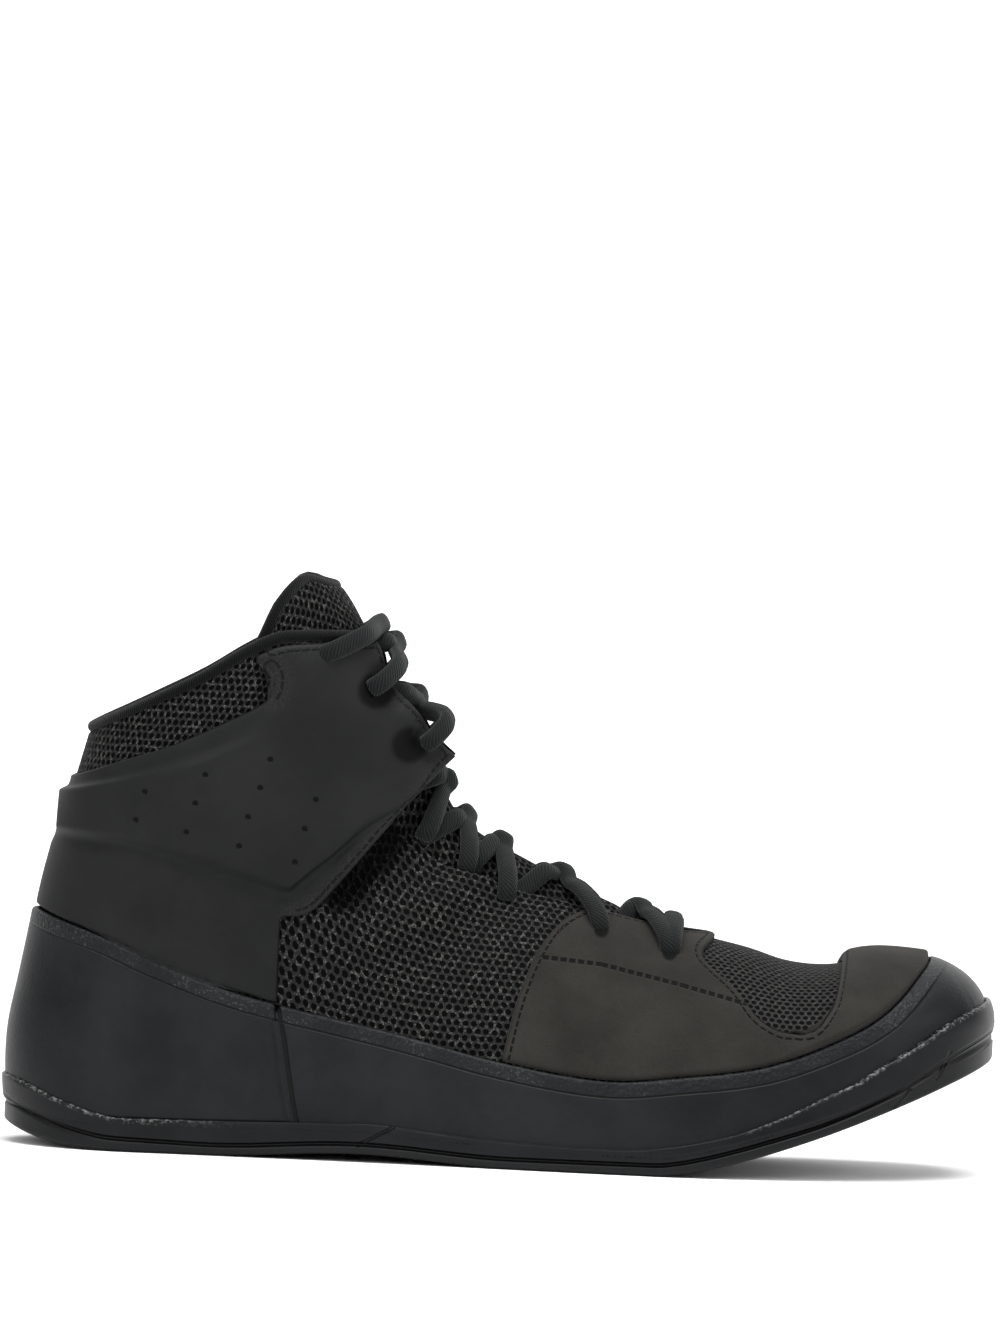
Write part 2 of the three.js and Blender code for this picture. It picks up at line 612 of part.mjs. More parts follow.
// Lace: strands that cross over the tongue from row to row, and a bar at both ends
// Height of what the lace crosses, above the form: the toe overlay and bare mesh, or the wing
const overFoot = (point, station) => (gap + panel) * (1 - smooth(station, 13.5, 15));
const overWing = (point) => gap + panel + flareAt(point);
function strand(from, to, side, cover) {
  const ends = [from.reach + 1.7, to.reach + 1];
  const inside = (row, end) => (row.reach - row.inset - 1) / end;
  const places = [-1, -inside(from, ends[0]), 0, inside(to, ends[1]), 1];
  const spots = places.map((across) => {
    const station = mix(from.station, to.station, (across + 1) / 2);
    const reach = Math.abs(across) * (across < 0 ? ends[0] : ends[1]);
    const turn = Math.sign(across || 1) * side * riseAt(station, reach);
    const { point, normal } = onForm(station, turn);
    const lift = across === 0 ? Math.max(side, 0) * crossOver : cover(point, station) + gap;
    return { point: point.addScaledVector(normal, lift + gap + laceHeight / 2), normal };
  });
  return cord(spots, laceWidth, laceHeight, 4);
}

// Strands that cross from row to row over the tongue, trimmed where they would dip into the shoe
function crossings(rows, cover, open) {
  const strands = [];
  for (let row = 0; row + 1 < rows.length; row += 1) {
    for (const side of [-1, 1]) strands.push(strand(rows[row], rows[row + 1], side, cover));
  }
  return { strands, room: skin((point, station) => cover(point, station) + gap).subtract(open) };
}
const footRows = laceRows.filter((row) => row.on !== "wing");
const wingRows = laceRows.filter((row) => row.on === "wing");
const underWing = { station: 19.8, inset: 2, reach: 10.5 };
const footLace = crossings([...footRows, underWing], overFoot, throat);
const wingLace = crossings(wingRows, overWing, slot(wingFrom, lastStation, wingHalf, -gap));
const firstBar = strand(footRows[0], footRows[0], 1, overFoot);
const lastBar = strand(wingRows.at(-1), wingRows.at(-1), 1, overWing);
const laceInstep = join([...footLace.strands, firstBar]).subtract(footLace.room);
const laceAnkle = join([...wingLace.strands, lastBar]).subtract(wingLace.room);

// Outsole: rings up its side over its plan outline, with a groove along the side
const soleStations = [0, 0.4, 1, 2, 3, 4, 5, 6, 7, 8, 9, 10, 11, 12, 13, 14, 15, 16, 17, 18];
soleStations.push(18.6, 19, 19.4, 19.8, 20.2, 20.6, 21);
const footprint = (side) => soleStations.map((station) => formPoint(station, 0, side));
const outlinePoints = [...footprint(-1), ...footprint(1).slice(1, -1).reverse()];
const outlineCount = outlinePoints.length;
const outlineNormals = outlinePoints.map((_, k) => {
  const before = outlinePoints[(k + outlineCount - 1) % outlineCount];
  const after = outlinePoints[(k + 1) % outlineCount];
  return new THREE.Vector3(after.y - before.y, before.x - after.x, 0).normalize();
});
const sideSign = outlineNormals[0].x > 0 ? 1 : -1;
const soleRings = [
  { share: 0, inset: 1.6 },
  { share: 0.16, inset: 0 },
  { share: 0.42, inset: 0 },
  { share: 0.46, inset: sideGroove },
  { share: 0.6, inset: sideGroove },
  { share: 0.66, inset: 0 },
  { share: 1.4, inset: 0 },
];
const underFeet = region([...soleTop, [length + far, soleTop.at(-1)[1]], ...groundward]);
function soleBody(rings, shrink) {
  const points = rings.flatMap(({ share, inset }) =>
    outlinePoints.map((point, k) => {
      const reach = sideSign * (layers - inset - shrink);
      const spot = point.clone().addScaledVector(outlineNormals[k], reach);
      return spot.setZ(mix(undersideAt(spot.x), floorAt(spot.x), share));
    }),
  );
  return { points, count: outlineCount };
}
function layeredSolid({ points, count }) {
  const loops = points.length / count;
  const triangles = [];
  for (let loop = 0; loop + 1 < loops; loop += 1) {
    for (let k = 0; k < count; k += 1) {
      const a = loop * count + k;
      const b = loop * count + ((k + 1) % count);
      triangles.push([a, b, a + count], [b, b + count, a + count]);
    }
  }
  const top = (loops - 1) * count;
  for (let k = 0; k < count / 2; k += 1) {
    const [near, next] = [k, k + 1];
    const [mirror, mirrorNext] = [(count - k) % count, count - k - 1];
    triangles.push([near, mirror, next], [mirror, mirrorNext, next]);
    triangles.push([top + near, top + next, top + mirror]);
    triangles.push([top + mirror, top + next, top + mirrorNext]);
  }
  return solid(points, triangles.filter(([a, b, c]) => a !== b && b !== c && c !== a));
}
const treadBlock = layeredSolid(soleBody([{ share: -0.5, inset: 0 }, { share: 0.9, inset: 0 }], treadRim));
const treadCuts = [];
for (let x = treadPitch; x < length - treadPitch; x += treadPitch) {
  const [low, high] = [undersideAt(x) - treadDepth, undersideAt(x) + treadDepth];
  treadCuts.push(region([[x, low], [x + treadSlot, low], [x + treadSlot, high], [x, high]]));
}
const outsole = layeredSolid(soleBody(soleRings, 0))
  .intersect(underFeet)
  .subtract(join(treadCuts).intersect(treadBlock));

// Colours
const material = (color, roughness) => new THREE.MeshStandardMaterial({ color, roughness, metalness: 0 });
const pieces = [
  ["outsole", outsole, material(0x17181a, 0.75)],
  ["insole", insole, material(0x1b1c1e, 0.9)],
  ["upper", upper, material(0x1d1e20, 0.9)],
  ["tongue", tongue, material(0x202123, 0.9)],
  ["heel_counter", heelCounter, material(0x25272c, 0.55)],
  ["foot_band", footBand, material(0x25272c, 0.55)],
  ["toe_overlay", toeOverlay, material(0x37322f, 0.85)],
  ["ankle_wing", ankleWing, material(0x2b2b2d, 0.6)],
  ["collar_binding", collarBinding, material(0x1c1d1f, 0.85)],
  ["lace_instep", laceInstep, material(0x2a2b2c, 0.9)],
  ["lace_ankle", laceAnkle, material(0x2a2b2c, 0.9)],
];

const slack = 0.06; // points that move the surface by less are left out
const shoe = new THREE.Group();
for (const [name, body, look] of pieces) {
  const { vertProperties, triVerts, numProp } = largest(body).asOriginal().simplify(slack).getMesh();
  const positions = new Float32Array((vertProperties.length / numProp) * 3);
  for (let k = 0; k * numProp < vertProperties.length; k += 1) {
    positions.set(vertProperties.slice(k * numProp, k * numProp + 3), 3 * k);
  }
  const geometry = new THREE.BufferGeometry();
  geometry.setAttribute("position", new THREE.BufferAttribute(positions, 3));
  geometry.setIndex(new THREE.BufferAttribute(new Uint32Array(triVerts), 1));
  const mesh = new THREE.Mesh(geometry, look);
  mesh.name = name;
  shoe.add(mesh);
}

// The origin is under the middle of the shoe, on the floor
const box = new THREE.Box3().setFromObject(shoe);
const centre = box.getCenter(new THREE.Vector3());
shoe.position.set(-centre.x, -centre.y, -box.min.z);
const group = new THREE.Group();
group.add(shoe);
export default group;
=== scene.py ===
# %% [markdown]
# # A high wrestling shoe, dressed over its measured solids
# A wrestling shoe is a thin sock-like boot: a knitted mesh upper, smooth synthetic panels bonded over
# it, a grained band round the foot and a thin rubber sole. The measured solids are loaded first and
# kept as the frame. Everything that follows is made in the same place and size.

# %% Load the solids
import math

import bmesh
import bpy
import numpy as np
from mathutils import Matrix, Vector


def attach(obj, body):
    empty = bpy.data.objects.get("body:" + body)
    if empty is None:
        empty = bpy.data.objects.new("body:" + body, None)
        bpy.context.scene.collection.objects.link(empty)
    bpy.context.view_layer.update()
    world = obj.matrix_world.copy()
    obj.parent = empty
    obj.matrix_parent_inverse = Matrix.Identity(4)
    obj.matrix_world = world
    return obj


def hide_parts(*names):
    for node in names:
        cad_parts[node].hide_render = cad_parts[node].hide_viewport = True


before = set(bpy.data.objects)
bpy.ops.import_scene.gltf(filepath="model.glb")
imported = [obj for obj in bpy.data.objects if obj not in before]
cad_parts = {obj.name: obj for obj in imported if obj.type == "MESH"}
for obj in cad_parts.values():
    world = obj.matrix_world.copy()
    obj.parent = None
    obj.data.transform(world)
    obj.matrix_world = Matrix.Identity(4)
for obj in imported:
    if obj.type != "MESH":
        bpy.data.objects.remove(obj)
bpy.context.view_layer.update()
MM = 0.001

# %% [markdown]
# ## Camera
# A product photograph of a shoe is taken from far off with a long lens, level with the shoe. Here the
# picture is also turned by a little over two degrees, so the camera rolls by as much. The lens
# follows from the height that the frame takes in and the distance.

# %% Camera
picture_height = 0.3907
picture_roll = math.radians(2.264)
camera_rise = math.radians(1.5)
camera_distance = 3.2
aim = Vector((-0.00435, 0, 0.1441))

camera_data = bpy.data.cameras.new("camera")
camera_data.sensor_fit = "VERTICAL"
camera_data.sensor_height = 36
camera_data.lens = camera_data.sensor_height * camera_distance / picture_height
camera = bpy.data.objects.new("camera", camera_data)
bpy.context.scene.collection.objects.link(camera)
level_up = Vector((0, math.sin(camera_rise), math.cos(camera_rise)))
backward = Vector((0, -math.cos(camera_rise), math.sin(camera_rise)))
right = Vector((1, 0, 0)) * math.cos(picture_roll) + level_up * math.sin(picture_roll)
up = backward.cross(right)
turned = Matrix((right, up, backward)).transposed().to_4x4()
camera.matrix_world = Matrix.Translation(aim + backward * camera_distance) @ turned
bpy.context.scene.camera = camera
print("lens", round(camera_data.lens), "mm")

# %% [markdown]
# ## Shader sums
# Node trees are easier to read as sums. A `Wire` holds one output socket, and adding or multiplying
# wires and numbers places the Math nodes. One method, `add`, makes every other kind of node: it sets
# the node's settings first and then fills or links its sockets.

# %% Wires
class Wire:
    def __init__(self, tree, socket=None):
        self.tree, self.socket = tree, socket

    def add(self, kind, settings=(), inputs=(), out=0):
        node = self.tree.nodes.new("ShaderNode" + kind)
        for name, value in dict(settings).items():
            setattr(node, name, value)
        for name, value in dict(inputs).items():
            if isinstance(value, Wire):
                self.tree.links.new(value.socket, node.inputs[name])
            else:
                node.inputs[name].default_value = value
        return Wire(self.tree, node.outputs[out])

    def math(self, operation, *values):
        return self.add("Math", {"operation": operation}, dict(enumerate(values)))

    def __add__(self, other):
        return self.math("ADD", self, other)

    def __sub__(self, other):
        return self.math("SUBTRACT", self, other)

    def __mul__(self, other):
        return self.math("MULTIPLY", self, other)

    def __truediv__(self, other):
        return self.math("DIVIDE", self, other)

    def __pow__(self, other):
        return self.math("POWER", self, other)

    def between(self, low, high):
        """0 below low, 1 above high, with a soft step from one to the other."""
        settings = {"interpolation_type": "SMOOTHSTEP", "clamp": True}
        ends = {"Value": self, "From Min": low, "From Max": high, "To Min": 0.0, "To Max": 1.0}
        return self.add("MapRange", settings, ends)

    def parts(self):
        split = self.tree.nodes.new("ShaderNodeSeparateXYZ")
        self.tree.links.new(self.socket, split.inputs[0])
        return [Wire(self.tree, output) for output in split.outputs]


# %% [markdown]
# The helpers come next: noise, a mix of two colours, bump, the places that a finish can be laid out
# by, threads of a seam, and the call that turns a recipe into a material. A recipe is a function that
# receives an empty wire and returns what goes into the Principled shader's sockets.

# %% Noise, colour and material helpers
def noise(wire, place, scale, detail=3.0, rough=0.55):
    inputs = {"Vector": place, "Scale": scale, "Detail": detail, "Roughness": rough}
    return wire.add("TexNoise", {"noise_dimensions": "3D"}, inputs)


def grey(level, tint=(1, 1, 1)):
    return tuple(level * part for part in tint) + (1,)


def shade(wire, mask, dark, light):
    inputs = {0: mask, 6: dark, 7: light}
    return wire.add("Mix", {"data_type": "RGBA", "clamp_factor": True}, inputs, out=2)


def bump(wire, height, depth_mm):
    return wire.add("Bump", {}, {"Height": height, "Distance": depth_mm * MM, "Strength": 1.0})


def object_place(wire):
    return wire.add("TexCoord", out=3)


def cloth_place(wire):
    return wire.add("UVMap", {"uv_map": "cloth"})


def seam_place(wire):
    """Distance from the sheet's edge and length along it, both in mm."""
    away, along, _ = wire.add("UVMap", {"uv_map": "seam"}).parts()
    return away * (1 / MM), along * (1 / MM)


def side_place(wire):
    """The side view place in mm, measured as the tables are."""
    x, _, z = object_place(wire).parts()
    return x * (1 / MM) + float(middle[0]), z * (1 / MM)


def to_segment(x, z, start, end):
    """Distance in mm from a side view segment, and the length along it."""
    run_x, run_z = end[0] - start[0], end[1] - start[1]
    run = math.hypot(run_x, run_z)
    along = ((x - start[0]) * (run_x / run) + (z - start[1]) * (run_z / run))
    held = along.math("MINIMUM", along.math("MAXIMUM", along, 0.0), run)
    dx, dz = x - start[0] - held * (run_x / run), z - start[1] - held * (run_z / run)
    return (dx * dx + dz * dz) ** 0.5, along


def stitches(away, along, inset, pitch=2.5, half=0.3):
    """1 on the threads of a seam that runs inset mm inside an edge."""
    off = (away - inset).math("ABSOLUTE", away - inset).between(half * 1.5, half * 0.7)
    beat = (along / pitch).math("FRACT", along / pitch) - 0.5
    return off * beat.math("ABSOLUTE", beat).between(0.42, 0.3)


def finish_as(name, recipe):
    material = bpy.data.materials.new(name)
    material.use_nodes = True
    tree = material.node_tree
    tree.nodes.clear()
    shader = tree.nodes.new("ShaderNodeBsdfPrincipled")
    for socket, value in recipe(Wire(tree)).items():
        if isinstance(value, Wire):
            tree.links.new(value.socket, shader.inputs[socket])
        else:
            shader.inputs[socket].default_value = value
    output = tree.nodes.new("ShaderNodeOutputMaterial")
    tree.links.new(shader.outputs[0], output.inputs[0])
    print("finish", name, len(tree.nodes), "nodes")
    return material


# %% [markdown]
# ## Studio
# The photograph has a white sweep and one large soft light, with only a thin shadow under the sole.
# The sweep is a bent profile drawn out sideways, and far from the shoe it glows a little, so that it
# stays white there.

# %% Sweep
sweep_mesh = bmesh.new()
profile = [(-5, 0), (3.7, 0)]
profile += [(3.7 + math.sin(turn), 1 - math.cos(turn)) for turn in np.linspace(0.1, math.pi / 2, 16)]
profile += [(4.7, 6)]
edge = [sweep_mesh.verts.new((-6, y, z)) for y, z in profile]
lines = [sweep_mesh.edges.new(pair) for pair in zip(edge, edge[1:])]
drawn = bmesh.ops.extrude_edge_only(sweep_mesh, edges=lines)["geom"]
bmesh.ops.translate(
    sweep_mesh, vec=(12, 0, 0), verts=[part for part in drawn if isinstance(part, bmesh.types.BMVert)]
)
for face in sweep_mesh.faces:
    face.smooth = True
sweep_data = bpy.data.meshes.new("sweep")
sweep_mesh.to_mesh(sweep_data)
sweep_mesh.free()
sweep_floor = bpy.data.objects.new("sweep", sweep_data)
bpy.context.scene.collection.objects.link(sweep_floor)


def paper(wire):
    x, y, _ = object_place(wire).parts()
    far = ((x * x + y * y) ** 0.5).between(0.5, 2.2)
    return {
        "Base Color": (0.9, 0.9, 0.9, 1),
        "Roughness": 0.9,
        "Specular IOR Level": 0.1,
        "Emission Color": shade(wire, far, grey(0), grey(1)),
        "Emission Strength": 0.7,
    }


sweep_data.materials.append(finish_as("paper_sweep", paper))

# %% [markdown]
# Three area lights and a pale world do the lighting. The largest light is above and in front, and a
# small one stands ahead of the toe.

# %% Lights
world = bpy.data.worlds.new("room")
bpy.context.scene.world = world
world.use_nodes = True
world.node_tree.nodes["Background"].inputs[0].default_value = (1, 1, 1, 1)
world.node_tree.nodes["Background"].inputs[1].default_value = 0.48
bpy.context.scene.view_settings.view_transform = "Standard"


def soft_light(name, place, size, power):
    data = bpy.data.lights.new(name, "AREA")
    data.shape, data.size, data.energy = "SQUARE", size, power
    light = bpy.data.objects.new(name, data)
    light.location = place
    light.rotation_euler = (Vector((0, 0, 0.06)) - Vector(place)).to_track_quat("-Z", "Y").to_euler()
    bpy.context.scene.collection.objects.link(light)


soft_light("top_light", (0.1, -0.35, 1.7), 1.3, 48)
soft_light("front_light", (-0.9, -1.9, 1.0), 1.1, 16)
soft_light("toe_light", (1.5, -0.9, 0.9), 0.9, 10)

# %% [markdown]
# ## The last
# Shoes are built over a last, and every panel follows its surface. The last is written as a fan of
# sections, from upright ones at the toe to nearly level ones at the collar, in the same numbers as
# the solids. A place on it is a station, which counts the sections from the toe tip, and a sweep: 0
# at the sole or the heel's back line, 1 at the ridge of the foot, negative on the outer side.

# %% Curves through tables
def mix(start, end, share):
    return start + (end - start) * share


def smooth(value, low, high):
    share = np.clip((value - low) / (high - low), 0, 1)
    return share * share * (3 - 2 * share)


def between(values, place):
    values = np.asarray(values, float)
    last = len(values) - 1
    place = np.clip(np.asarray(place, float), 0, last)
    row = np.minimum(place.astype(int), last - 1)
    t = (place - row).reshape(place.shape + (1,) * (values.ndim - 1))
    b, c = values[row], values[row + 1]
    first, end = row == 0, row + 2 > last
    first, end = first.reshape(t.shape), end.reshape(t.shape)
    a = np.where(first, 2 * b - c, values[np.maximum(row - 1, 0)])
    d = np.where(end, 2 * c - b, values[np.minimum(row + 2, last)])
    return b + 0.5 * t * (c - a + t * (2 * a - 5 * b + 4 * c - d + t * (3 * (b - c) + d - a)))


def follow(table, place):
    places, values = np.array(table, float).T
    row = np.clip(np.searchsorted(places, place, side="left") - 1, 0, len(places) - 2)
    share = np.clip((place - places[row]) / (places[row + 1] - places[row]), 0, 1)
    return between(values, row + share)


# %% [markdown]
# The sole's side view comes first, because the sections stand on it: a bevelled heel, a low arch and
# a long toe spring.

# %% Side view of the sole, in millimetres
length, ball_width, heel_width, ankle_width = 290.0, 98.0, 67.0, 68.0
instep_height, collar_height = 92.0, 121.0
toe_spring, arch_lift, heel_bevel = 36.0, 2.3, 8.0
heel_sole, ball_sole = 9.0, 6.0
wall, gap, panel_thick, band_thick, counter_thick = 2.2, 0.3, 1.4, 1.7, 2.2
cap_step, pad_step, wing_flare, sole_lip = 3.2, 1.3, 9.0, 1.0
layers = gap + counter_thick + sole_lip
middle = np.array([145.05, -0.5, 0.0])  # of the solids' box, where the frame has its origin


def spring(x):
    start = 0.662 * length
    return toe_spring * np.maximum((x - start) / (length - start), 0) ** 1.4


def rocker(x):
    heel = heel_bevel * (1 - np.clip(x / (0.13 * length), 0, 1)) ** 2.9
    arch = np.clip((x - 0.2 * length) / (0.32 * length), 0, 1)
    return heel + arch_lift * np.sin(np.pi * arch) ** 2


def underside(x):
    return spring(x) + rocker(x)


def sole_top(x):
    thick = mix(heel_sole, ball_sole, smooth(x, 0.3 * length, 0.62 * length))
    return spring(x) + thick + 0.4 * rocker(x)


back_line = [
    (rise * collar_height, place * length)
    for rise, place in [
        (0.0, 0.03), (0.07, 0.0165), (0.15, 0.0105), (0.23, 0.0095), (0.3, 0.0115), (0.37, 0.017),
        (0.45, 0.0235), (0.54, 0.0295), (0.63, 0.036), (0.74, 0.0465), (0.86, 0.0585),
        (0.98, 0.0715), (1.09, 0.0835), (1.2, 0.095),
    ]
]

# %% [markdown]
# Two tables hold the sections. The foot's sections stand on the sole. The ankle's run from the front
# of the ankle to the heel, and the later ones end on the heel's back line instead of the sole.

# %% Sections of the foot and the ankle
foot_rows = [
    # topX, top, botX, lift, half, centre, ridge
    (0.9885, 0.122, 0.9875, 0.02, 0, 0.2, 0.2),
    (0.986, 0.165, 0.9825, 0.01, 0.27, 0.193, 0.2),
    (0.9775, 0.232, 0.971, 0.002, 0.475, 0.18, 0.197),
    (0.962, 0.303, 0.952, 0, 0.64, 0.162, 0.193),
    (0.9385, 0.374, 0.926, 0, 0.765, 0.138, 0.187),
    (0.906, 0.435, 0.895, 0, 0.86, 0.108, 0.18),
    (0.87, 0.486, 0.858, 0, 0.927, 0.073, 0.17),
    (0.831, 0.514, 0.819, 0, 0.972, 0.036, 0.158),
    (0.789, 0.572, 0.776, 0, 0.995, 0, 0.144),
    (0.744, 0.652, 0.731, 0, 1, -0.034, 0.128),
    (0.697, 0.727, 0.683, 0, 0.985, -0.063, 0.11),
    (0.649, 0.778, 0.631, 0, 0.938, -0.09, 0.092),
    (0.601, 0.828, 0.575, 0, 0.872, -0.113, 0.075),
    (0.556, 0.891, 0.513, 0, 0.8, -0.127, 0.058),
    (0.514, 0.956, 0.445, 0, 0.738, -0.124, 0.043),
    (0.479, 1.011, 0.366, 0, 0.7, -0.1, 0.03),
    (0.452, 1.07, 0.277, 0, 0.695, -0.066, 0.018),
]
ankle_rows = [
    # topX, top, botX or None, back, half
    (0.4375, 0.86, 0.19, None, 0.16),
    (0.431, 0.9, 0.11, None, 0.12),
    (0.4265, 0.93, 0.055, None, 0.1),
    (0.4225, 0.955, 0.027, None, 0.1),
    (0.419, 0.978, None, 0, 0.12),
    (0.4125, 1.02, None, 0.1, 0.22),
    (0.4055, 1.062, None, 0.21, 0.36),
    (0.398, 1.103, None, 0.335, 0.52),
    (0.39, 1.144, None, 0.465, 0.68),
    (0.3815, 1.186, None, 0.59, 0.82),
    (0.373, 1.227, None, 0.72, 0.93),
    (0.3645, 1.268, None, 0.845, 1),
    (0.355, 1.31, None, 0.97, 1.02),
    (0.344, 1.354, None, 1.09, 1.03),
    (0.331, 1.396, None, 1.21, 1.04),
    (0.315, 1.44, None, 1.35, 1.05),
]
section_shape = [
    # station, widest, crown, cheek
    (0, 0.5, 2.2, 2.1), (4, 0.34, 2.3, 2.15), (7, 0.26, 2.2, 2.05), (10, 0.22, 2.0, 1.85),
    (13, 0.22, 1.85, 1.65), (16, 0.28, 1.9, 1.7), (19, 0.38, 2.0, 1.85), (23, 0.5, 2.1, 2.0),
    (29, 0.52, 2.1, 2.0),
]

# %% [markdown]
# The tables hold shares of the shoe's sizes. Here they become millimetres, with the widths reduced by
# the layers that stand outside the last.

# %% Sections in millimetres
ball_half, heel_half = ball_width / 2 - layers, heel_width / 2 - layers
ankle_half = ankle_width / 2
shaft_ease = 2.0  # the shaft stands this much outside the ankle bones
rows = []
for top_x, top, bot_x, lift, half, centre, ridge in foot_rows:
    top_x, bot_x = top_x * length, bot_x * length
    top_z = spring(top_x) + top * instep_height
    bot_z = sole_top(bot_x) + lift * instep_height
    rows.append((top_x, top_z, bot_x, bot_z, half * ball_half, centre * ball_half, ridge * ball_half))
for top_x, top, bot_x, back, half in ankle_rows:
    if back is None:
        bot_x = bot_x * length
        bot_z = sole_top(bot_x)
    else:
        bot_z = mix(sole_top(0.014 * length), collar_height, back)
        bot_x = follow(back_line, bot_z)
    half = mix(heel_half, ankle_half, half) + shaft_ease
    rows.append((top_x * length, top * collar_height, bot_x, bot_z, half, 0, 0))
sections = np.array(rows, float)
last_station = len(sections) - 1
heel_station = 21  # the first section that ends on the heel's back line
heel_depth = 37.0  # how far in front of the back line the heel has its full width
print("sections", len(sections))


# %% [markdown]
# A function turns station, rise and side into a place. A second one does the same for a sweep and
# adds the outward direction, from two small steps along and across the surface. A third goes the
# other way, from a side view place to its station and rise.

# %% Places on the last
def form_place(station, rise, side):
    top_x, top_z, bot_x, bot_z, half, centre, ridge = np.moveaxis(between(sections, station), -1, 0)
    x, z = mix(bot_x, top_x, rise), mix(bot_z, top_z, rise)
    widest, crown, cheek = (
        follow([(row[0], row[column]) for row in section_shape], station) for column in (1, 2, 3)
    )
    over = np.clip((rise - widest) / (1 - widest), 0, 1)
    arch = (1 - over**crown) ** (1 / cheek)
    off_line = np.where(station > heel_station, bot_x - follow(back_line, bot_z), 0)
    depth = x - follow(back_line, z) - off_line * (1 - np.clip(8 * rise, 0, 1))
    depth = np.maximum(depth, 0.02 * (x - bot_x))
    heel = (1 - (1 - np.clip(depth / heel_depth, 0, 1)) ** 2) ** 0.52
    rear = 1 - smooth(x, 0.252 * length, 0.42 * length)
    hollow = 1 - 0.09 * rear * np.exp(-(((z / collar_height - 0.47) / 0.2) ** 2))
    y = mix(centre, ridge, rise) + side * half * arch * heel * hollow
    return np.stack([x, y, z], -1)


def swept_place(station, sweep):
    side = np.where(sweep < 0, -1.0, 1.0)
    around = np.abs(sweep)
    side = np.where(around > 1, -side, side)
    around = np.where(around > 1, 2 - around, around)
    return form_place(station, 0.5 - 0.5 * np.cos(np.pi * around), side)


def surface(station, sweep):
    station, sweep = np.broadcast_arrays(np.asarray(station, float), np.asarray(sweep, float))
    side = np.where(np.signbit(sweep), -1.0, 1.0)
    sweep = side * np.maximum(np.abs(sweep), 1e-6)
    step = 0.012
    open_below = station < heel_station
    low = np.where(open_below & (side > 0), np.maximum(sweep - step, 1e-6), sweep - step)
    high = np.where(open_below & (side < 0), np.minimum(sweep + step, -1e-6), sweep + step)
    ahead = swept_place(np.minimum(station + 0.03, last_station), sweep)
    along = ahead - swept_place(np.maximum(station - 0.03, 0), sweep)
    normal = np.cross(along, swept_place(station, high) - swept_place(station, low))
    normal /= np.maximum(np.linalg.norm(normal, axis=-1, keepdims=True), 1e-9)
    ahead_of_toe = 1 - smooth(station, 0, 0.6)[..., None]
    normal = normal * (1 - ahead_of_toe) + np.array([1.0, 0.0, 0.0]) * ahead_of_toe
    normal /= np.maximum(np.linalg.norm(normal, axis=-1, keepdims=True), 1e-9)
    return swept_place(station, sweep), normal


def station_and_rise(x, z):
    x, z = np.asarray(x, float), np.asarray(z, float)
    low, high = np.zeros_like(x), np.full_like(x, last_station)
    for _ in range(36):
        station = (low + high) / 2
        top_x, top_z, bot_x, bot_z = np.moveaxis(between(sections[:, :4], station), -1, 0)
        beyond = (top_x - bot_x) * (z - bot_z) - (top_z - bot_z) * (x - bot_x) > 0
        low, high = np.where(beyond, station, low), np.where(beyond, high, station)
    span_x, span_z = top_x - bot_x, top_z - bot_z
    rise = ((x - bot_x) * span_x + (z - bot_z) * span_z) / (span_x**2 + span_z**2)
    return station, rise


def sweep_of(rise):
    return np.arccos(1 - 2 * np.clip(rise, 0, 1)) / np.pi


def side_line(places, count):
    """A smooth side view line through (station, rise) places: an array of x and z."""
    spots = np.array([form_place(np.array(station), rise, 0)[[0, 2]] for station, rise in places])
    return between(spots, np.linspace(0, len(places) - 1, count))


def on_last(line):
    """Station and sweep of every place of a side view line."""
    station, rise = station_and_rise(line[:, 0], line[:, 1])
    return np.stack([station, sweep_of(rise)], -1)


def sweep_where(station, reach):
    """The sweep, on the outer side, at which the last is reach mm from its ridge."""
    low, high = np.full_like(station, 0.35), np.ones_like(station)
    for _ in range(30):
        sweep = (low + high) / 2
        outer, inner = swept_place(station, -sweep), swept_place(station, sweep)
        wide = (inner - outer)[..., 1] / 2 > reach
        low, high = np.where(wide, sweep, low), np.where(wide, high, sweep)
    return (low + high) / 2


heel_point, toe_point = swept_place(np.array([23.0, 0.0]), np.array([0.0, 0.5]))
print("last from", heel_point.round(1), "to", toe_point.round(1))


# %% [markdown]
# ## Sheets of material
# Each panel is a thin shell: a grid laid on the last as its outside, a second as its inside, joined
# where the thickness runs out at the edges. `create_grid` makes the grids, and every vertex is then
# moved to its place. A fine spacing near the edges gives them their rounded fold.

# %% Shells from grids
same_place, same_rim_place, shortest_edge = 0.004, 0.12, 0.0005
no_seam = 9.0  # seam distance given to faces that no seam or groove reaches


def spread(fine, count, power):
    """Shares from 0 to 1, closer together near the ends named in fine."""
    share = np.linspace(0, 1, count)
    if fine == "start":
        return share**power
    if fine == "end":
        return 1 - (1 - share) ** power
    bent = (np.minimum(share, 1 - share) * 2) ** power / 2
    return np.where(share < 0.5, bent, 1 - bent)


def new_piece():
    made = bmesh.new()
    made.loops.layers.uv.new("cloth")
    made.loops.layers.uv.new("seam")
    return made


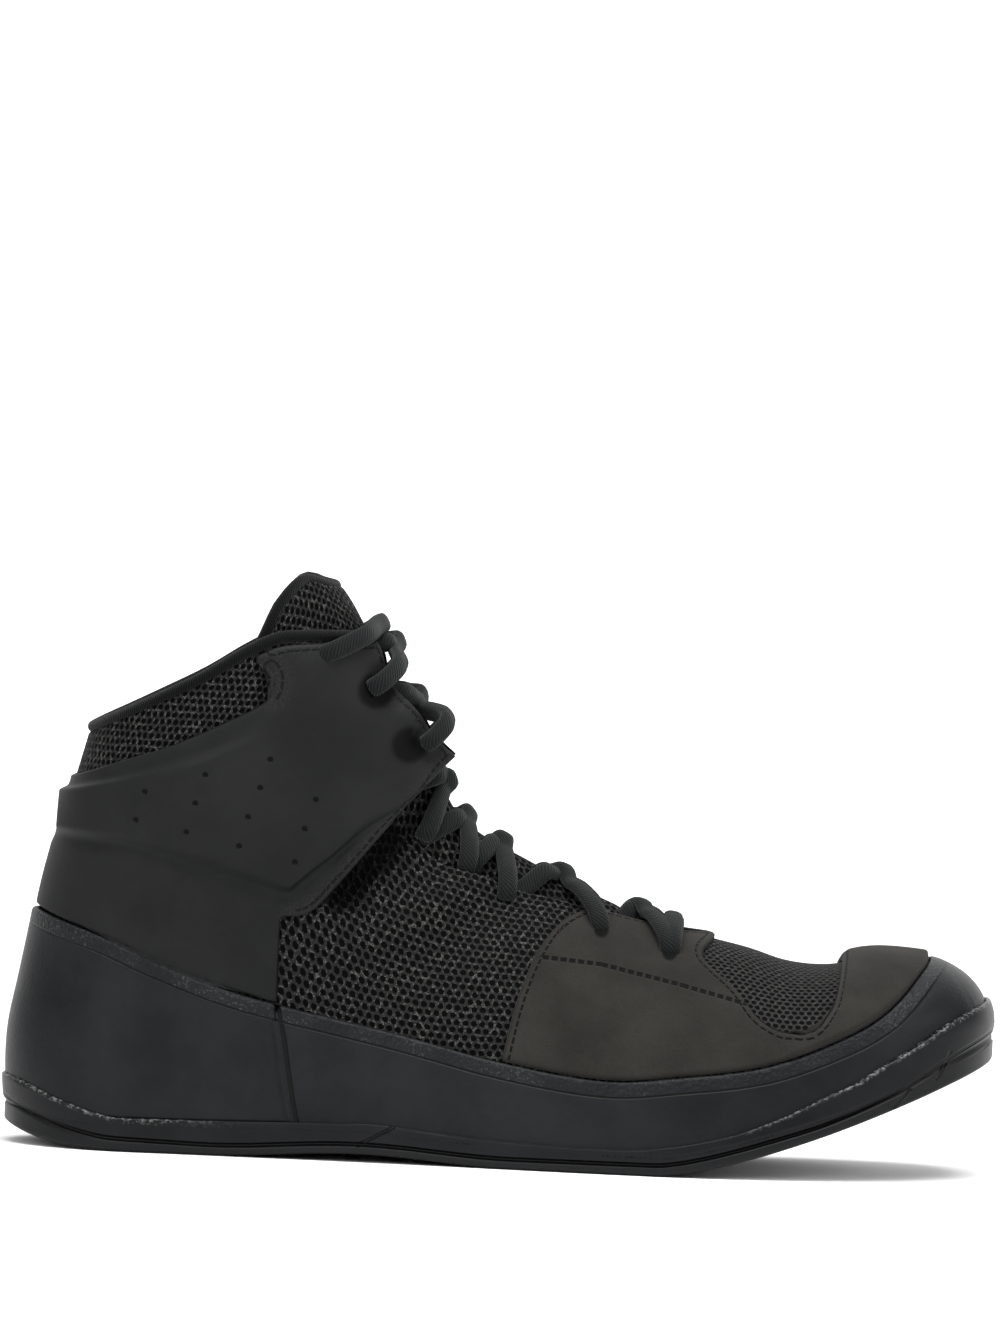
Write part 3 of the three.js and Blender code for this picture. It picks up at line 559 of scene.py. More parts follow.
def lay_grid(made, places, cloth, seam=(0.0, 0.0), finish=0):
    """A grid moved onto places (rows and columns of x, y, z in mm).

    Its cloth coordinates are in mm across the sheet, and its seam coordinates are the distance from
    the nearest edge and the length along that edge.
    """
    count_u, count_v = places.shape[:2]
    grid = bmesh.ops.create_grid(made, x_segments=count_u - 1, y_segments=count_v - 1, size=0.5)
    uv, seam_layer = made.loops.layers.uv["cloth"], made.loops.layers.uv["seam"]
    spots = (places - middle) * MM
    seam = np.stack([np.broadcast_to(part, (count_u, count_v)) for part in seam], -1) * MM
    finish = np.broadcast_to(finish, (count_u, count_v))
    where = {}
    for vert in grid["verts"]:
        i, j = round((vert.co.x + 0.5) * (count_u - 1)), round((vert.co.y + 0.5) * (count_v - 1))
        where[vert] = (i, j)
        vert.co = spots[i, j]
    faces = {face for vert in grid["verts"] for face in vert.link_faces}
    for face in faces:
        face.smooth = True
        corners = [where[loop.vert] for loop in face.loops]
        i, j = min(corner[0] for corner in corners), min(corner[1] for corner in corners)
        face.material_index = int(finish[i, j])
        for loop, corner in zip(face.loops, corners):
            loop[uv].uv = cloth[corner]
            loop[seam_layer].uv = seam[corner]


def close_piece(made, name, node, finishes):
    """Merges the doubles, turns the faces outward and hands the piece to the frame."""
    bmesh.ops.remove_doubles(made, verts=made.verts, dist=same_place * MM)
    loose = [vert for vert in made.verts if vert.is_boundary]
    bmesh.ops.remove_doubles(made, verts=loose, dist=same_rim_place * MM)
    bmesh.ops.dissolve_degenerate(made, edges=made.edges, dist=shortest_edge * MM)
    open_lines = [line for line in made.edges if line.is_boundary]
    bmesh.ops.holes_fill(made, edges=open_lines, sides=8)
    bmesh.ops.recalc_face_normals(made, faces=made.faces)
    open_edges = sum(1 for line in made.edges if len(line.link_faces) != 2)
    data = bpy.data.meshes.new(name)
    made.to_mesh(data)
    made.free()
    piece = bpy.data.objects.new(name, data)
    bpy.context.scene.collection.objects.link(piece)
    for finish in finishes:
        data.materials.append(finish)
    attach(piece, "root")
    if node:
        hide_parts(node)
    print(name, len(data.polygons), "faces, open edges", open_edges)
    return piece


def run_length(places, axes, direction):
    """Length along one direction of a grid, measured in the given axes alone."""
    steps = np.linalg.norm(np.diff(places[..., axes], axis=direction), axis=-1)
    pad = [(0, 0), (0, 0)]
    pad[direction] = (1, 0)
    return np.cumsum(np.pad(steps, pad), axis=direction)


def nearest(places, lines):
    """For every place the distance to the nearest point of the lines and the length up to it."""
    flat = places.reshape(-1, 3)
    best, run = np.full(len(flat), 1e9), np.zeros(len(flat))
    for line in lines:
        along = np.concatenate([[0], np.cumsum(np.linalg.norm(np.diff(line, axis=0), axis=1))])
        for start in range(0, len(line), 60):
            part = line[start : start + 61]
            away = np.linalg.norm(flat[:, None] - part[None], axis=-1)
            index = away.argmin(1)
            value = away[np.arange(len(flat)), index]
            run = np.where(value < best, along[start + index], run)
            best = np.minimum(best, value)
    return best.reshape(places.shape[:2]), run.reshape(places.shape[:2])


def fold(distance, radius):
    return np.sqrt(1 - (1 - np.clip(distance / radius, 0, 1)) ** 2)


# %% [markdown]
# A panel's outline is four lines. The inside of the grid is first blended from them and then relaxed,
# each point moving to the mean of its neighbours, which spreads the grid evenly in bent outlines.

# %% Grids between four edges
def evenly(line, count):
    """A line of stations and sweeps, spaced evenly by its length on the last."""
    spots = swept_place(line[:, 0], line[:, 1])
    along = np.concatenate([[0], np.cumsum(np.linalg.norm(np.diff(spots, axis=0), axis=1))])
    wanted = np.linspace(0, along[-1], count)
    return np.stack([np.interp(wanted, along, line[:, column]) for column in (0, 1)], -1)


def fill(bottom, top, left, right, count_u, count_v, rounds):
    bottom, top = evenly(bottom, count_u), evenly(top, count_u)
    left, right = evenly(left, count_v), evenly(right, count_v)
    u = np.linspace(0, 1, count_u)[:, None, None]
    v = np.linspace(0, 1, count_v)[None, :, None]
    grid = (1 - v) * bottom[:, None] + v * top[:, None] + (1 - u) * left[None] + u * right[None]
    grid -= (1 - u) * (1 - v) * bottom[0] + u * (1 - v) * bottom[-1]
    grid -= (1 - u) * v * top[0] + u * v * top[-1]
    for _ in range(rounds):
        inner = grid[:-2, 1:-1] + grid[2:, 1:-1] + grid[1:-1, :-2] + grid[1:-1, 2:]
        grid[1:-1, 1:-1] = inner / 4
    return grid


def resample(grid, u, v):
    rows_at_u = between(grid, np.asarray(u) * (grid.shape[0] - 1))
    return np.swapaxes(between(np.swapaxes(rows_at_u, 0, 1), np.asarray(v) * (grid.shape[1] - 1)), 0, 1)


# %% [markdown]
# ## Side view lines
# The panels meet along lines that were read from the photograph and set on the last: the collar, the
# top of the foot band, the heel seam, the ankle wing and the toe overlay.

# %% Lines of the panels
collar_line = [(29.3, -0.12), (29.35, 0.03), (29.35, 0.2), (29.4, 0.4), (29.6, 0.56), (29.65, 0.68),
               (29.3, 0.78), (28.6, 0.9), (28, 0.97), (27.7, 1.05)]
band_line = [(26.2, -0.1), (25.7, -0.03), (25, 0.06), (23.5, 0.23), (21.8, 0.35), (18.5, 0.39),
             (17.1, 0.37), (15.1, 0.33), (13.4, 0.3), (11.6, 0.3), (10.1, 0.35), (8.4, 0.39),
             (6.8, 0.48), (5.5, 0.6), (4.5, 0.9), (3.9, 1.17), (3.6, 1.4)]
counter_seam = [(17.3, 0.41), (17.1, 0.37), (16.5, 0.25), (16.1, 0.13), (15.5, -0.1)]
quarter_seam = [(16.6, 0.25), (17.1, 0.37), (17.8, 0.49), (18.95, 0.59)]
wing_edge = [(18.95, 0.59), (18.3, 0.605), (18.09, 0.647), (18.34, 0.765), (19.05, 0.868),
             (20.2, 0.947), (20.5, 0.995), (20.7, 1.04)]
wing_top = [(29.15, 0.6), (28.95, 0.635), (28.43, 0.66), (27.87, 0.65), (27.62, 0.61), (27.65, 0.51),
            (27.78, 0.35), (28.03, 0.19), (28.28, -0.01), (28.5, -0.12)]
pad_outline = [
    # x and z in mm of the field pressed into the ankle wing, open at its upper front
    (15.7, 103.1), (33.6, 108.2), (53.9, 114.9), (75.5, 125.4), (120, 150), (150, 140), (140, 112),
    (112.9, 105.5), (101.4, 99.1), (92, 88), (81.7, 77.8), (55.1, 85.6), (34.3, 90.6), (15.3, 91.3),
]
overlay_rear = [(13.4, 0.2), (13.4, 0.48), (13.3, 0.65), (13.1, 0.78), (12.8, 0.87), (12.4, 0.94),
                (11.9, 1.02), (11.5, 1.15)]
window_edge = [(9.6, 1.02), (9.9, 0.9), (9.1, 0.77), (8.6, 0.65), (8, 0.58), (7.4, 0.56),
               (6.95, 0.68), (6.8, 0.81), (6.7, 1.02)]
tongue_edge = [(9.3, 0.84), (10.5, 0.74), (12, 0.72), (14, 0.74), (17, 0.78), (20, 0.78), (23, 0.74),
               (26, 0.68), (29.4, 0.61)]
tongue_top = [(0.61, 29.4), (0.66, 30), (0.72, 30.7), (0.82, 31.3), (0.91, 31.6), (0.96, 31.3),
              (1.0, 31.1)]

collar_at = on_last(side_line(collar_line, 300))
print("collar runs from station", collar_at[0].round(2), "to", collar_at[-1].round(2))

# %% [markdown]
# Lines that run past the last's outline are cut off where they cross the ridge or the heel's back
# line, so that panels from both sides meet there and can be joined.

# %% Parts of lines
def part_of(places, start, end, count, drop=0.0):
    """The side view line from one of its places to another, lowered by drop mm."""
    spots = np.array([form_place(np.array(station), rise, 0)[[0, 2]] for station, rise in places])
    return between(spots, np.linspace(start, end, count)) - np.array([0, drop])


def trimmed(line):
    station, rise = station_and_rise(line[:, 0], line[:, 1])
    inside = np.flatnonzero((rise > 0) & (rise < 1))
    first, last = inside[0], inside[-1]
    kept = [(station[k], sweep_of(rise[k])) for k in inside]
    for outer, inner, at in ((first - 1, first, 0), (last + 1, last, len(kept))):
        if 0 <= outer < len(rise):
            limit = 0.0 if rise[outer] <= 0 else 1.0
            share = (limit - rise[inner]) / (rise[outer] - rise[inner])
            spot = (mix(station[inner], station[outer], share), limit)
            if at:
                kept.append(spot)
            else:
                kept.insert(0, spot)
    return np.array(kept)


seam_row = 6  # of band_line, where the heel counter ends and the foot band starts
rear_band = trimmed(part_of(band_line, 0, seam_row, 300))
front_band = trimmed(part_of(band_line, seam_row, 16, 700))
print("band crosses the heel at", rear_band[0].round(2), "and the ridge at", front_band[-1].round(2))


# %% [markdown]
# ## Creases
# An empty boot keeps the folds of its last wearing: soft hollows over the flex line in front of the
# ankle, a dent above the heel, and a slack toe box. They are listed one by one, each as a line in the
# side view with a width and a depth, and every layer of the upper follows them together.

# %% Creases
creases = [
    # x, z of one end, x, z of the other, width, depth outward, in mm
    (98, 80, 114, 97, 8, -4.5),
    (104, 74, 128, 92, 6, -1.0),
    (112, 66, 138, 84, 5, 1.3),
    (120, 58, 150, 78, 6, -1.2),
    (40, 88, 88, 98, 9, -0.7),
    (228, 60, 246, 70, 8, -0.9),
    (196, 60, 214, 76, 7, -0.6),
]


def crease_relief(base):
    x, z = base[..., 0], base[..., 2]
    total = np.zeros_like(x)
    for x0, z0, x1, z1, width, depth in creases:
        run = np.array([x1 - x0, z1 - z0])
        share = np.clip(((x - x0) * run[0] + (z - z0) * run[1]) / (run @ run), 0, 1)
        away = np.hypot(x - x0 - share * run[0], z - z0 - share * run[1])
        total += depth * np.exp(-((away / width) ** 2)) * (1 - 0.25 * smooth(base[..., 1], -8, 8))
    return total


# %% [markdown]
# ## Cloths
# The foot's mesh is a coarse knit of round holes in staggered rows, dark, with painted glints on its
# threads, and its holes are painted near black: the dark lining under them, with painted shade. Its
# holes are worked out from two lattices, one between the other. The toe's window has the same knit, a
# little finer and with weaker painted glints. Where the wing's free corner stands off the mesh, a
# painted shadow darkens the mesh.

# %% Mesh cloth
flap_shadow_line = ((97, 77), (110, 93))  # side view line of the painted shadow under the wing's free corner


def holes_in(wire, place, pitch):
    """Distance in mm to the nearest hole centre of a staggered lattice, in the cloth's own plane."""
    x, y, _ = wire.add("VectorMath", {"operation": "SCALE"}, {0: place, "Scale": 1 / MM}).parts()
    row = pitch * math.sqrt(3)

    def away(shift):
        across = ((x / pitch + shift).math("FRACT", x / pitch + shift) - 0.5) * pitch
        along = ((y / row + shift).math("FRACT", y / row + shift) - 0.5) * row
        return (across * across + along * along).math("SQRT", across * across + along * along)

    return x.math("MINIMUM", away(0.0), away(0.5))


def knit(pitch, hole, thread_level, depth, glint_gain=5):
    def recipe(wire):
        place = cloth_place(wire)
        wobble = noise(wire, object_place(wire), 900, 2)
        away = holes_in(wire, place, pitch) + (wobble - 0.5) * (0.16 * pitch)
        thread = away.between(hole * pitch * 0.75, hole * pitch * 1.15)
        # painted highlights: flecks of glint on the threads round each hole
        glint = noise(wire, object_place(wire), 900, 2, 0.7).between(0.52, 0.64)
        edge_glints = away.between(hole * pitch * 1.9, hole * pitch * 1.3)
        bright = grey(thread_level * glint_gain, (0.98, 1, 0.95))
        lit = shade(wire, glint * edge_glints * thread, grey(thread_level, (0.98, 1, 0.97)), bright)
        # painted shadow: the mesh darkens near the line under the wing's free corner
        x, z = side_place(wire)
        from_flap_shadow, _ = to_segment(x, z, *flap_shadow_line)
        painted_flap_shadow = from_flap_shadow.between(8.5, 2.5) * 0.85
        # the holes are painted near black: the dark lining under them, with painted shade
        base = shade(wire, painted_flap_shadow, shade(wire, thread, grey(0.0012), lit), grey(0.0008))
        height = thread * 0.8 + glint * thread * 0.2
        return {
            "Base Color": base,
            "Roughness": 0.6,
            "Specular IOR Level": 0.02,
            "Normal": bump(wire, height, depth),
        }

    return recipe


foot_knit = finish_as("foot_knit", knit(2.45, 0.34, 0.0135, 0.8))
toe_knit = finish_as("toe_knit", knit(2.15, 0.34, 0.02, 0.6, 2.2))


def lining_cloth(wire):
    rough = noise(wire, object_place(wire), 1400, 3)
    return {
        "Base Color": shade(wire, rough, grey(0.006), grey(0.014)),
        "Roughness": 0.9,
        "Specular IOR Level": 0.02,
        "Normal": bump(wire, rough, 0.2),
    }


lining = finish_as("lining_cloth", lining_cloth)

# %% [markdown]
# ## Synthetic panels
# Three skins cover the mesh. The ankle wing is smooth and matt with a very fine grain. The foot band
# is a bluish leathery film with a pebbled grain, strongest along its top edge. The toe is a brushed
# nubuck, warmer than the rest, whose nap shows as soft lighter and darker patches.

# %% Holes, lace slots and second seams, all in side view millimetres
perforations = [
    (39.3, 104.9), (56.7, 110.6), (75.3, 115.7), (37, 96.6), (54.1, 102.2), (72.7, 107.4), (51.8, 93.7),
    (69.5, 98.8), (88.9, 104.5), (67.2, 90.2), (86, 95.9), (83.5, 86.1),
]
lace_slots = [(105, 136.5), (115.4, 121)]
toe_holes = [(193.4, 63.4), (173.3, 69.2)]
overlay_seam = [(156, 61), (173.3, 59.5), (197, 54.5), (216, 50)]
sole_notches = [((105, 5), (115, 10.6)), ((258, 20), (264.5, 27)), ((272.5, 30.5), (276, 38))]


def to_places(x, z, places):
    """Distance in mm to the nearest of some side view places."""
    nearby = None
    for place_x, place_z in places:
        dx, dz = x - place_x, z - place_z
        away = (dx * dx + dz * dz) ** 0.5
        nearby = away if nearby is None else away.math("MINIMUM", nearby, away)
    return nearby


# %% [markdown]
# Seams, holes with painted shade in them and painted highlights are laid out on each skin by its
# distance from the panel's edge or by the side view tables.

# %% Panel finishes
def wing_skin(wire):
    place = object_place(wire)
    x, z = side_place(wire)
    away, along = seam_place(wire)
    grain = noise(wire, place, 1900, 3)
    patch = noise(wire, place, 38, 3)
    # perforations and lace slots, painted near black in the colour below: painted shade inside them
    whole = to_places(x, z, perforations).between(0.55, 0.95)
    slot = to_places(x, z, lace_slots).between(3.4, 7.2)
    sewn = stitches(away, along, 1.9)
    dark, light = grey(0.0088, (0.97, 1, 1.03)), grey(0.0122, (0.98, 1, 1.02))
    skin = shade(wire, patch.between(0.3, 0.7), dark, light)
    # painted highlight: lighter grainy flecks within a few mm of the wing's edges
    edge_glints = shade(wire, away.between(6.5, 2.5) * grain.between(0.45, 0.7) * 0.7, skin, grey(0.024))
    sewn_skin = shade(wire, sewn, edge_glints, grey(0.005))
    return {
        "Base Color": shade(wire, whole * slot.between(0.0, 0.9), grey(0.001), sewn_skin),
        "Roughness": grain * 0.15 + 0.46,
        "Specular IOR Level": 0.07,
        "Normal": bump(wire, grain * 0.06 + whole + patch * 0.3 + sewn * -0.5, 0.5),
    }


counter_points = side_line(counter_seam[1:], 5).tolist()


def band_skin(wire):
    place = object_place(wire)
    away, _ = seam_place(wire)
    pebble = wire.add("TexVoronoi", {"feature": "F1"}, {"Vector": place, "Scale": 800.0})
    grain = noise(wire, place, 1500, 3)
    streak = noise(wire, place, 55, 4)
    strip = away.between(5.1, 4.5)
    # the groove under the top strip and the counter's seam line are painted near black: painted shade in
    # them
    crease = (away - 4.8).math("ABSOLUTE", away - 4.8).between(0.45, 0.1)
    x, z = side_place(wire)
    for start, end in zip(counter_points, counter_points[1:]):
        far, _ = to_segment(x, z, start, end)
        crease = crease.math("MAXIMUM", crease, far.between(0.9, 0.4))
    dark, light = grey(0.0055, (0.93, 1, 1.15)), grey(0.0092, (0.93, 1, 1.12))
    tone = shade(wire, streak.between(0.3, 0.7), dark, light)
    # painted highlights: glints on the grained strip along the band's top edge
    glints = strip * grain.between(0.56, 0.66) * streak.between(0.42, 0.6)
    pale_flecks = shade(wire, glints, tone, grey(0.036, (0.96, 1, 1.03)))
    return {
        "Base Color": shade(wire, crease, pale_flecks, grey(0.001)),
        "Roughness": streak * 0.16 + 0.36,
        "Specular IOR Level": 0.12,
        "Normal": bump(wire, (pebble * 0.5 + grain * 0.5) * (strip * 0.8 + 0.2) + crease * -0.8, 0.4),
    }


def nubuck(wire):
    place = object_place(wire)
    x, z = side_place(wire)
    away, along = seam_place(wire)
    nap = noise(wire, place, 2200, 3, 0.65)
    brushed = noise(wire, place, 42, 4, 0.6)
    tone = brushed * 0.6 + nap * 0.4
    sewn = stitches(away, along, 2.2)
    for start, end in zip(overlay_seam, overlay_seam[1:]):
        far, run = to_segment(x, z, start, end)
        sewn = sewn.math("MAXIMUM", sewn, stitches(far, run, 0.0, 2.6, 0.55))
    # the toe's two lace holes are painted near black: painted shade inside them
    holes = to_places(x, z, toe_holes).between(1.7, 2.6)
    dark, light = grey(0.0125, (1.06, 1, 0.88)), grey(0.0235, (1.06, 1, 0.9))
    nap_tone = shade(wire, tone.between(0.3, 0.7), dark, light)
    rim = shade(wire, away.between(0.9, 0.2), nap_tone, grey(0.008))
    return {
        "Base Color": shade(wire, holes, grey(0.002), shade(wire, sewn, rim, grey(0.004))),
        "Roughness": 0.93,
        "Specular IOR Level": 0.02,
        "Normal": bump(wire, nap * 0.3 + sewn * -0.9, 0.45),
        "Sheen Weight": 0.06,
        "Sheen Roughness": 0.5,
    }


wing_finish = finish_as("wing_skin", wing_skin)
band_finish = finish_as("band_skin", band_skin)
nubuck_finish = finish_as("toe_nubuck", nubuck)

# %% [markdown]
# ## Rubber, cord and trim
# The sole is a thin dark rubber with a dull shine. The lace is a woven oval cord, so its pattern runs
# in slanting ribs along its own length, and the collar is bound in a finer, darker tape.

# %% Trim finishes
def rubber(wire):
    """Its seam coordinates count from the groove along the side and from the rim's top edge."""
    place = object_place(wire)
    x, z = side_place(wire)
    away, from_top = seam_place(wire)
    fine = noise(wire, place, 1800, 2)
    dust = noise(wire, place, 70, 4)
    # the groove and the notches in the rim are painted near black: painted shade in them
    groove = away.math("ABSOLUTE", away).between(0.75, 0.3)
    for start, end in sole_notches:
        far, _ = to_segment(x, z, start, end)
        groove = groove.math("MAXIMUM", groove, far.between(0.7, 0.25))
    # pale flecks along the rim's top edge at the heel and the toe: partly pale wear, partly a painted
    # highlight
    flat = x.between(75, 40) + x.between(205, 235)
    pale_flecks = from_top.between(1.5, 0.2) * flat * noise(wire, place, 900, 3, 0.7).between(0.5, 0.6)
    low = away.between(0, -1.5)
    dark, light = grey(0.0034, (0.92, 1, 1.2)), grey(0.0056, (0.92, 1, 1.18))
    tone = shade(wire, dust.between(0.35, 0.7), dark, light)
    lit = shade(wire, low, tone, grey(0.006, (0.95, 1, 1.1)))
    edge_glints = shade(wire, pale_flecks * 0.8, lit, grey(0.16))
    return {
        "Base Color": shade(wire, groove, edge_glints, grey(0.0008)),
        "Roughness": dust * 0.2 + 0.32,
        "Specular IOR Level": 0.14,
        "Normal": bump(wire, fine * 0.06 + groove * -1.0, 0.8),
    }


def woven(level, rib):
    def recipe(wire):
        along, across, _ = cloth_place(wire).parts()
        slant = (along * (1 / MM) + across.math("ABSOLUTE", across) * (1.1 / MM)) * (math.tau / rib)
        ribs = slant.math("SINE", slant) * 0.5 + 0.5
        fluff = noise(wire, object_place(wire), 2500, 3)
        tone = (ribs * 0.5 + fluff * 0.5).between(0.2, 0.9)
        tint = (0.9, 1, 1.02)
        return {
            "Base Color": shade(wire, tone, grey(level * 0.55, tint), grey(level * 1.35, tint)),
            "Roughness": 0.85,
            "Specular IOR Level": 0.03,
            "Normal": bump(wire, ribs * 0.6 + fluff * 0.4, 0.22),
            "Sheen Weight": 0.08,
        }

    return recipe


rubber_finish = finish_as("sole_rubber", rubber)
lace_finish = finish_as("lace_weave", woven(0.0108, 0.95))
tape_finish = finish_as("binding_tape", woven(0.0035, 0.8))

# %% [markdown]
# ## Upper
# The upper is one wall of mesh with its lining, over the whole foot and ankle. Its stations run from
# the toe tip to the collar, and its rows from the sole or the heel's back line to the throat's edge.
# Where there is no throat the two sides meet on the ridge.

# %% Upper wall
throat_start = 9.9


def throat_reach(station):
    full = mix(15, 30, smooth(station, 10.3, 16.3)) / 2
    return full * np.sqrt(np.clip((station - throat_start) / 0.55, 0, 1))


columns = np.concatenate([
    np.linspace(0, 1, 9)[:-1] ** 1.3,
    np.linspace(1, throat_start, 56)[:-1],
    throat_start + 0.55 * np.linspace(0, 1, 9)[:-1] ** 2,
    np.linspace(throat_start + 0.55, 21, 60)[:-1],
    np.linspace(21, 30, 46),
])
edge_sweep = np.where(columns > throat_start, sweep_where(columns, throat_reach(columns)), 1.0)
row_share = spread("end", 52, 1.5)
upper_sweep = edge_sweep[:, None] * row_share[None]
collar_order = np.argsort(collar_at[:, 1])
collar_end = np.interp(upper_sweep, collar_at[collar_order, 1], collar_at[collar_order, 0])
upper_station = np.broadcast_to(columns[:, None], upper_sweep.shape)
upper_station = np.where(
    upper_station > 21, 21 + (upper_station - 21) * (collar_end - 21) / 9, upper_station
)
upper_base = surface(upper_station, -upper_sweep)[0]
open_line = upper_base[columns >= throat_start, -1]
lower_line = upper_base[columns <= heel_station, 0]
rim, _ = nearest(upper_base, [open_line, upper_base[-1], lower_line])
turned_in = (wall / 2) * (1 - fold(rim, wall / 2))
upper_mesh = new_piece()
zone = np.where(columns[:, None] < 10.6, 1, 0) + np.zeros_like(upper_sweep, int)
for side in (-1, 1):
    base, out = surface(upper_station, side * upper_sweep)
    base = base + out * crease_relief(base)[..., None]
    foot_cloth = np.stack([base[..., 0], side * run_length(base[:, ::-1], [1, 2], 1)[:, ::-1]], -1)
    ankle_cloth = np.stack([side * run_length(base, [0, 1], 1), base[..., 2]], -1)
    cloth = np.where(columns[:, None, None] > 21, ankle_cloth, foot_cloth) * MM
    lay_grid(upper_mesh, base - out * turned_in[..., None], cloth, finish=zone)
    lay_grid(upper_mesh, base - out * (wall - turned_in)[..., None], cloth, finish=2)
close_piece(upper_mesh, "upper_mesh", "upper", [foot_knit, toe_knit, lining])

# %% [markdown]
# ## Foot band and heel counter
# The band wraps the foot just over the sole and climbs over the toe tip. Its columns fan out from the
# toe, so they are drawn between the sole's edge and the band's top edge. The heel counter is a
# thicker cup behind a seam, and its columns crowd together round the heel's back line.

# %% Foot band
band_columns, band_rows = 230, 26
upper_edge = evenly(front_band, band_columns)
seam_bottom = trimmed(side_line(counter_seam, 200))[-1, 0] - 0.05
sole_edge = np.array(
    [(station, 0.0) for station in np.linspace(seam_bottom, 0, 400)]
    + [(0.0, sweep) for sweep in np.linspace(0.02, 1, 30)]
)
lower_edge = evenly(sole_edge, band_columns)
share = spread("end", band_rows, 1.8)[None, :, None]
band_spots = (1 - share) * lower_edge[:, None] + share * upper_edge[:, None]


def over_sole(places, height):
    """Sets the first row of a grid on the sole."""
    places[:, 0, 2] = sole_top(places[:, 0, 0]) + height
    return places


band = new_piece()
for side in (-1, 1):
    base, out = surface(band_spots[..., 0], side * band_spots[..., 1])
    lift = crease_relief(base) * smooth(base[..., 2] - sole_top(base[..., 0]), 8, 26)
    base = base + out * lift[..., None]
    away, _ = nearest(base, [base[:, -1], base[0]])
    seam = nearest(base, [base[:, -1]])
    height = gap + band_thick * fold(away, 0.9)
    cloth = np.stack([base[..., 0], side * base[..., 2]], -1) * MM
    outside = over_sole(base + out * height[..., None], gap)
    inside = over_sole(base + out * gap, gap)
    outside, inside, cloth = (
        np.concatenate([part[:, :1], part], 1) for part in (outside, inside, cloth)
    )
    seam = [np.concatenate([part[:, :1], part], 1) for part in seam]
    outside[:, 0] = inside[:, 0]
    lay_grid(band, outside, cloth, seam)
    lay_grid(band, inside, cloth, seam)
close_piece(band, "foot_band_skin", "foot_band", [band_finish])

# %% [markdown]
# The heel counter's grid is drawn in the side view: its rows go from the sole to the band's top edge,
# and its columns from the heel's back line to the seam.

# %% Heel counter
seam_side = side_line(counter_seam[1:], 200)
rear_top = swept_place(rear_band[:, 0], rear_band[:, 1])
around = np.linspace(0, 1, 90)[:, None]
level = spread("both", 44, 1.5)[None, :]
counter_x, counter_z = np.zeros((90, 44)), np.full((90, 44), 30.0)
for _ in range(12):
    seam_x = np.interp(counter_z, seam_side[::-1, 1], seam_side[::-1, 0]) - 0.15
    back_x = follow(back_line, counter_z)
    counter_x = back_x + (seam_x - back_x) * around**2
    top_z = np.interp(counter_x, rear_top[:, 0], rear_top[:, 2])
    counter_z = mix(sole_top(counter_x) + gap, top_z, level)
station, rise = station_and_rise(counter_x, counter_z)
counter_spots = np.stack([station, sweep_of(rise)], -1)
counter_spots[0, :, 1] = 0.0
counter = new_piece()
for side in (-1, 1):
    base, out = surface(counter_spots[..., 0], side * counter_spots[..., 1])
    away, _ = nearest(base, [base[:, -1], base[-1], base[:, 0]])
    seam = nearest(base, [base[:, -1]])
    height = gap + counter_thick * fold(away, 1.3)
    cloth = np.stack([base[..., 0], side * base[..., 2]], -1) * MM
    for lift in (height, np.full_like(height, gap)):
        places = base + out * lift[..., None]
        places[:, 0, 2] = sole_top(places[:, 0, 0]) + gap
        lay_grid(counter, places, cloth, seam)
close_piece(counter, "heel_counter_skin", "heel_counter", [band_finish])

# %% [markdown]
# ## Toe overlay
# The nubuck panel is one piece: eyestays beside the throat, a strip over the foot band, and the toe
# cap, which goes over the ridge. Its upper outline runs along the throat, over the ridge, down round
# the mesh window and back up along the cap. The cap is padded, so it stands higher than the rest.

# %% Toe overlay
overlay_bottom_line = part_of(band_line, 7.4, 16, 700, -1.5 * gap)
overlay_bottom = trimmed(overlay_bottom_line)
rear_line = trimmed(part_of(overlay_rear, 0, 6.5, 300))
start = np.linalg.norm(
    overlay_bottom[:, None] * [1, 8] - rear_line[None] * [1, 8], axis=-1
)
bottom_at, rear_at = np.unravel_index(start.argmin(), start.shape)
throat_edge = np.linspace(12.6, throat_start, 120)
overlay_reach = np.maximum(throat_reach(throat_edge), 0.05) + 1.0 * smooth(throat_edge, 9.9, 10.1)
throat_side = np.stack([throat_edge, sweep_where(throat_edge, overlay_reach)], -1)
rear_end = np.abs(rear_line[:, None] * [1, 8] - throat_side[None] * [1, 8]).sum(-1)
rear_top_at, throat_at = np.unravel_index(rear_end.argmin(), rear_end.shape)
window_line = trimmed(side_line(window_edge, 400))
overlay_top = np.concatenate([
    throat_side[throat_at:-1],
    [(9.9, 1.0)],
    window_line,
    np.stack([np.linspace(window_line[-1, 0], overlay_bottom[-1, 0], 60)[1:], np.ones(59)], -1),
])
overlay_left = rear_line[rear_at : rear_top_at + 1]
overlay_right = np.repeat(overlay_bottom[-1:], 10, 0)
overlay_grid = fill(
    np.concatenate([rear_line[rear_at : rear_at + 1], overlay_bottom[bottom_at:]]),
    overlay_top, overlay_left, overlay_right, 220, 50, 500,
)
overlay_spots = resample(overlay_grid, spread("start", 240, 1.25), spread("both", 40, 1.8))
on_ridge = overlay_spots[:, -1, 1] > 0.9995
overlay_spots[on_ridge, -1, 1] = 1.0
overlay = new_piece()
cap_line = side_line(window_edge[4:], 120)
